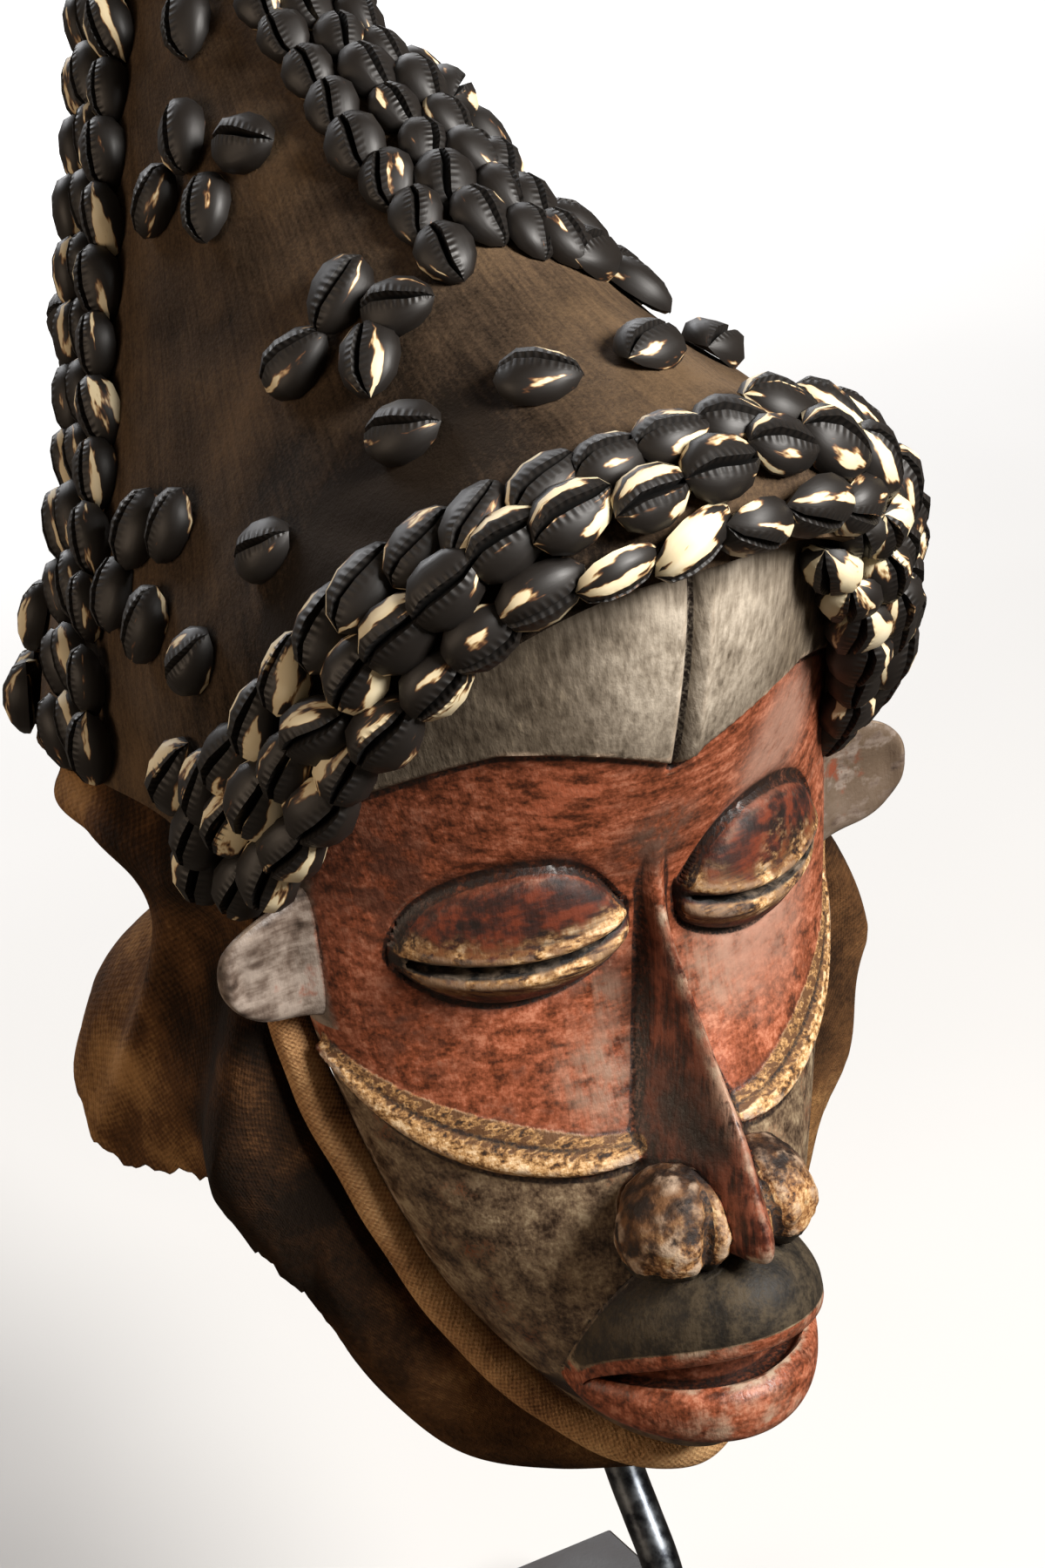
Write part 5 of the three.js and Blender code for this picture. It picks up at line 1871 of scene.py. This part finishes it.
@dataclass(frozen=True)
class PlainWeave:
    """Hand-spun plain weave, brown and dusty: matt, its threads standing up in a small chequer, with painted shade and
    painted light in places.
    """

    name: str
    dark: str
    middle: str
    light: str
    across: float  # nominal sizes: divided by thread, they say how many threads the flat map holds each way
    along: float
    thread: float
    relief: float = 0.04
    light_and_shade_places: tuple[tuple[Point, float, float], ...] = ()  # centres, radii and how much lighter each place is: darker places are painted shade, lighter ones painted light
    deepest: str = "100905"
    sheen: str = "c9a47a"

    def build(self) -> Finish:
        """Builds the material; the threads are drawn two to three times as coarse as real ones, so that they show.

        Returns:
            The finished material.
        """
        material, tree, surface = blank_material(self.name)
        flat = add(tree, "UVMap", {"uv_map": "UVMap"}).outputs["UV"]
        place = add(tree, "TexCoord").outputs["Object"]
        wobble = add(tree, "TexNoise", {"Scale": cells(16.667), "Detail": 3.0}, {"Vector": place})
        mapped = add(tree, "Mapping", {"Scale": (self.across / self.thread, self.along / self.thread, 1.0)},
                     {"Vector": flat})
        bent = add(tree, "VectorMath", {"operation": "SCALE", "Scale": 1.6}, {0: wobble.outputs["Color"]})
        bent = add(tree, "VectorMath", {"operation": "ADD"}, {0: mapped, 1: bent})
        parts = add(tree, "SeparateXYZ", links={0: bent})
        waves = []
        for axis in (0, 1):
            angle = add(tree, "Math", {"operation": "MULTIPLY", "1": math.pi}, {0: parts.outputs[axis]})
            waves.append(add(tree, "Math", {"operation": "SINE"}, {0: angle}))
        weave = add(tree, "Math", {"operation": "MULTIPLY"}, {0: waves[0], 1: waves[1]})
        slub = add(tree, "TexNoise", {"Scale": cells(2.381), "Detail": 4.0, "Roughness": 0.7},
                   {"Vector": place})  # thick places in the yarn
        dirt = add(tree, "TexNoise", {"Scale": cells(29.41), "Detail": 4.0}, {"Vector": place})
        sum_one = add(tree, "Math", {"operation": "MULTIPLY_ADD", "1": self.relief}, {0: weave, 2: dirt})
        sum_two = add(tree, "Math", {"operation": "MULTIPLY_ADD", "1": 0.35, "2": -0.17}, {0: slub})
        tone = add(tree, "Math", {"operation": "ADD"}, {0: sum_one, 1: sum_two})
        # places with a negative amount are painted shade, those with a positive one painted light
        for centre, near, amount in self.light_and_shade_places:
            here = seat(np.array([centre]))[0].tolist()
            away = add(tree, "VectorMath", {"operation": "DISTANCE", "1": here}, {0: place})
            painted_shade = add(tree, "MapRange", {
                "interpolation_type": "SMOOTHSTEP", "From Min": near * MM, "From Max": near * MM * 0.4,
                "To Max": amount}, {"Value": away.outputs["Value"]})
            tone = add(tree, "Math", {"operation": "ADD"}, {0: tone, 1: painted_shade})
        stops = ((0.14, self.deepest), (0.29, self.dark), (0.5, self.middle), (0.74, self.light))
        shade = add(tree, "ValToRGB", {"stops": stops}, {"Fac": tone})
        threads = add(tree, "Bump", {"Strength": 0.25, "Distance": 0.5 * MM}, {"Height": weave})
        fuzz = add(tree, "Bump", {"Strength": 0.8, "Distance": 1.8 * MM}, {"Height": slub, "Normal": threads})
        fill(tree, surface, {
            "Roughness": 0.92, "Specular IOR Level": 0.1, "Sheen Weight": 0.05, "Sheen Tint": linear(self.sheen)},
            {"Base Color": shade, "Normal": fuzz})
        return material


@dataclass(frozen=True)
class DrawnSteel:
    """Drawn steel rod, oiled: grey metal with a broken lengthwise shine."""

    grey: str = "5a5e62"
    dark: str = "34373c"

    def build(self) -> Finish:
        """Builds the material.

        Returns:
            The finished material.
        """
        material, tree, surface = blank_material("drawn_oiled_steel")
        place = add(tree, "TexCoord").outputs["Object"]
        cloud = add(tree, "TexNoise", {"Scale": cells(6.25), "Detail": 5.0, "Roughness": 0.65},
                    {"Vector": place})  # patches of oil
        shade = add(tree, "ValToRGB", {"stops": ((0.4, self.dark), (0.6, self.grey))}, {"Fac": cloud})
        rough = add(tree, "MapRange", {"From Min": 0.35, "From Max": 0.65, "To Min": 0.26, "To Max": 0.45},
                    {"Value": cloud})
        fill(tree, surface, {"Metallic": 1.0}, {"Base Color": shade, "Roughness": rough})
        return material


@dataclass(frozen=True)
class PaintedSteel:
    """Steel block under a thin dark brown-grey coat of sprayed paint: a low, slightly pebbled sheen."""

    coat: str = "241d1a"
    dark: str = "191412"

    def build(self) -> Finish:
        """Builds the material.

        Returns:
            The finished material.
        """
        material, tree, surface = blank_material("sprayed_dark_paint_on_steel")
        place = add(tree, "TexCoord").outputs["Object"]
        cloud = add(tree, "TexNoise", {"Scale": cells(33.33), "Detail": 5.0}, {"Vector": place})
        pebble = add(tree, "TexNoise", {"Scale": cells(1.429), "Detail": 2.0},
                     {"Vector": place})  # the spray's pebbling, really 0.5 mm: drawn coarser, so that it shows
        shade = add(tree, "ValToRGB", {"stops": ((0.4, self.dark), (0.6, self.coat))}, {"Fac": cloud})
        rough = add(tree, "MapRange", {"From Min": 0.35, "From Max": 0.65, "To Min": 0.5, "To Max": 0.62},
                    {"Value": cloud})
        bump = add(tree, "Bump", {"Strength": 0.15, "Distance": 0.5 * MM}, {"Height": pebble})
        fill(tree, surface, {"Specular IOR Level": 0.25}, {"Base Color": shade, "Roughness": rough, "Normal": bump})
        return material


@dataclass
class Studio:
    """Pale floor, soft lights and the camera, which was fitted to the photograph: pixels, millimetres, degrees."""

    focal: float = 4501.11
    width: float = 1200.0
    height: float = 1800.0
    across: float = 646.888
    down: float = 976.624
    distance: float = 1108.762
    turn: float = 26.668
    fall: float = 29.683
    tilt: float = -4.115
    sensor: float = 36.0

    def camera(self) -> None:
        """Sets the camera at the photograph's viewing angle."""
        a, e, r = (math.radians(v) for v in (self.turn, self.fall, self.tilt))
        ahead = Vector((math.sin(a) * math.cos(e), math.cos(a) * math.cos(e), -math.sin(e)))
        side = Vector((math.cos(a), -math.sin(a), 0))
        up = side.cross(ahead)
        right = side * math.cos(r) + up * math.sin(r)
        top = up * math.cos(r) - side * math.sin(r)
        x = (self.across - self.width / 2) / self.focal * self.distance
        y = (self.height / 2 - self.down) / self.focal * self.distance
        centre = -(right * x + top * y + ahead * self.distance)
        lean = Matrix.Rotation(LEAN, 3, "X")
        axes = lean @ Matrix((right, top, -ahead)).transposed()
        centre = lean @ centre + Vector((0, -FORWARD, HEIGHT))
        data = bpy.data.cameras.new("camera")
        data.sensor_width = self.sensor
        data.lens = self.focal / self.height * self.sensor
        data.clip_end = 50
        camera = bpy.data.objects.new("camera", data)
        bpy.context.scene.collection.objects.link(camera)
        camera.matrix_world = Matrix.Translation(centre * MM) @ axes.to_4x4()
        bpy.context.scene.camera = camera

    def light(self, name: str, place: Point, size: float, power: float, tint: str,
              target: Point = (0.0, -0.1, 0.4)) -> None:
        """Adds one soft square light.

        Args:
            name: the light's name.
            place: where it hangs, in metres.
            size: its side.
            power: its strength in watts.
            tint: its colour.
            target: the place it looks at, in metres.
        """
        data = bpy.data.lights.new(name, "AREA")
        data.size = size
        data.energy = power
        data.color = linear(tint)[:3]
        lamp = bpy.data.objects.new(name, data)
        bpy.context.scene.collection.objects.link(lamp)
        aim = Vector(target) - Vector(place)
        lamp.matrix_world = Matrix.Translation(place) @ aim.to_track_quat("-Z", "Y").to_matrix().to_4x4()

    def build(self) -> None:
        """Builds the floor, the lights, the sky light and the camera."""
        shape = bmesh.new()
        bmesh.ops.create_grid(shape, x_segments=1, y_segments=1, size=8.0)
        floor = make_object(shape, "pale_floor")
        material, tree, surface = blank_material("pale_floor")
        place = add(tree, "TexCoord").outputs["Object"]
        cloud = add(tree, "TexNoise", {"Scale": cells(333.3), "Detail": 2.0}, {"Vector": place})
        shade = add(tree, "ValToRGB", {"stops": ((0.3, "c1c1c0"), (0.7, "c4c4c3"))}, {"Fac": cloud})
        fill(tree, surface, {"Roughness": 0.9}, {"Base Color": shade})
        floor.data.materials.append(material)
        floor.visible_diffuse = False
        floor.visible_glossy = False
        self.light("key_light", (0.75, -1.75, 1.45), 0.7, 117.0, "fffbf6")
        self.light("fill_light", (-1.7, 0.1, 0.7), 0.9, 11.0, "ffe4c8", (0.0, 0.0, 0.45))
        self.light("floor_light", (0.7, 4.7, 2.6), 4.0, 500.0, "fbfcff", (0.7, 4.6, 0.0))
        world = bpy.data.worlds.new("studio")
        world.use_nodes = True
        world.node_tree.nodes["Background"].inputs["Color"].default_value = linear("ffe9d2")
        world.node_tree.nodes["Background"].inputs["Strength"].default_value = 0.11
        bpy.context.scene.world = world
        bpy.context.scene.view_settings.view_transform = "Standard"
        self.camera()


def main() -> None:
    """Builds every piece in order and reports each."""
    logging.basicConfig(level=logging.INFO, format="%(name)s: %(message)s")
    Studio().build()
    shell = DarkCowrie().build()
    hem_cloth = PlainWeave("brown_hem_weave", "65462f", "a77e55", "d2ab7a", 39.0, 560.0, 1.05, 0.09).build()
    # the hanging cloth's places of painted shade, and two of painted light
    hanging = PlainWeave("coarse_brown_weave", "27170b", "543820", "926d44", 620.0, 110.0, 1.15, 0.05,
                         (((-94, 22, -62), 60, -0.34), ((-100, 62, 4), 50, -0.26), ((-84, 6, -128), 56, -0.22),
                          ((-100, 124, 0), 36, 0.1), ((-104, 92, -104), 44, 0.1), ((98, 40, -40), 90, -0.16),
                          ((-20, -30, -190), 60, -0.1))).build()
    face = CarvedFace().build(PaintedWood().build())
    hood = HideHood().build(DarkHide().build())
    work = CowrieWork()
    pieces = [face, hood]
    pieces.append(work.sew("brow_cowrie_band", work.brow(), ["brow_cowries"], shell, 0.36))
    crest = work.climb(0.0, 0.55, 0.96, 3, 0.8, 1.14) + work.climb(0.1, 0.54, 0.62, 1, 0.8, 1.14)
    pieces.append(work.sew("crest_cowrie_band", crest, ["crest_cowries"], shell, 0.05))
    pieces.append(work.sew("right_cowrie_band", work.climb(-0.7, 0.07, 0.95, 3), ["side_cowries_right"], shell, 0.25))
    pieces.append(work.sew("left_cowrie_band", work.climb(0.7, 0.07, 0.95, 3), ["side_cowries_left"], shell, 0.25))
    pieces.append(work.sew("nape_cowrie_band", work.nape(), ["nape_cowries"], shell, 0.25))
    for hand in Hand:
        for group in Lone:
            name = f"{group.name.lower()}_cowries_{hand.name.lower()}"
            pieces.append(work.sew(name, group.shells(hand, work), group.nodes(hand), shell, 0.12))
    hem = HemRoll().build(hem_cloth)
    cloth = NeckCloth().build(hanging)
    pieces += [hem, cloth, StandRod().build(DrawnSteel().build())]
    block = bpy.data.objects["base_block"]
    block.data.materials.clear()
    block.data.materials.append(PaintedSteel().build())
    for piece in pieces:
        log.info("%s: %d faces", piece.name, len(piece.data.polygons))


if __name__ == "__main__":
    main()
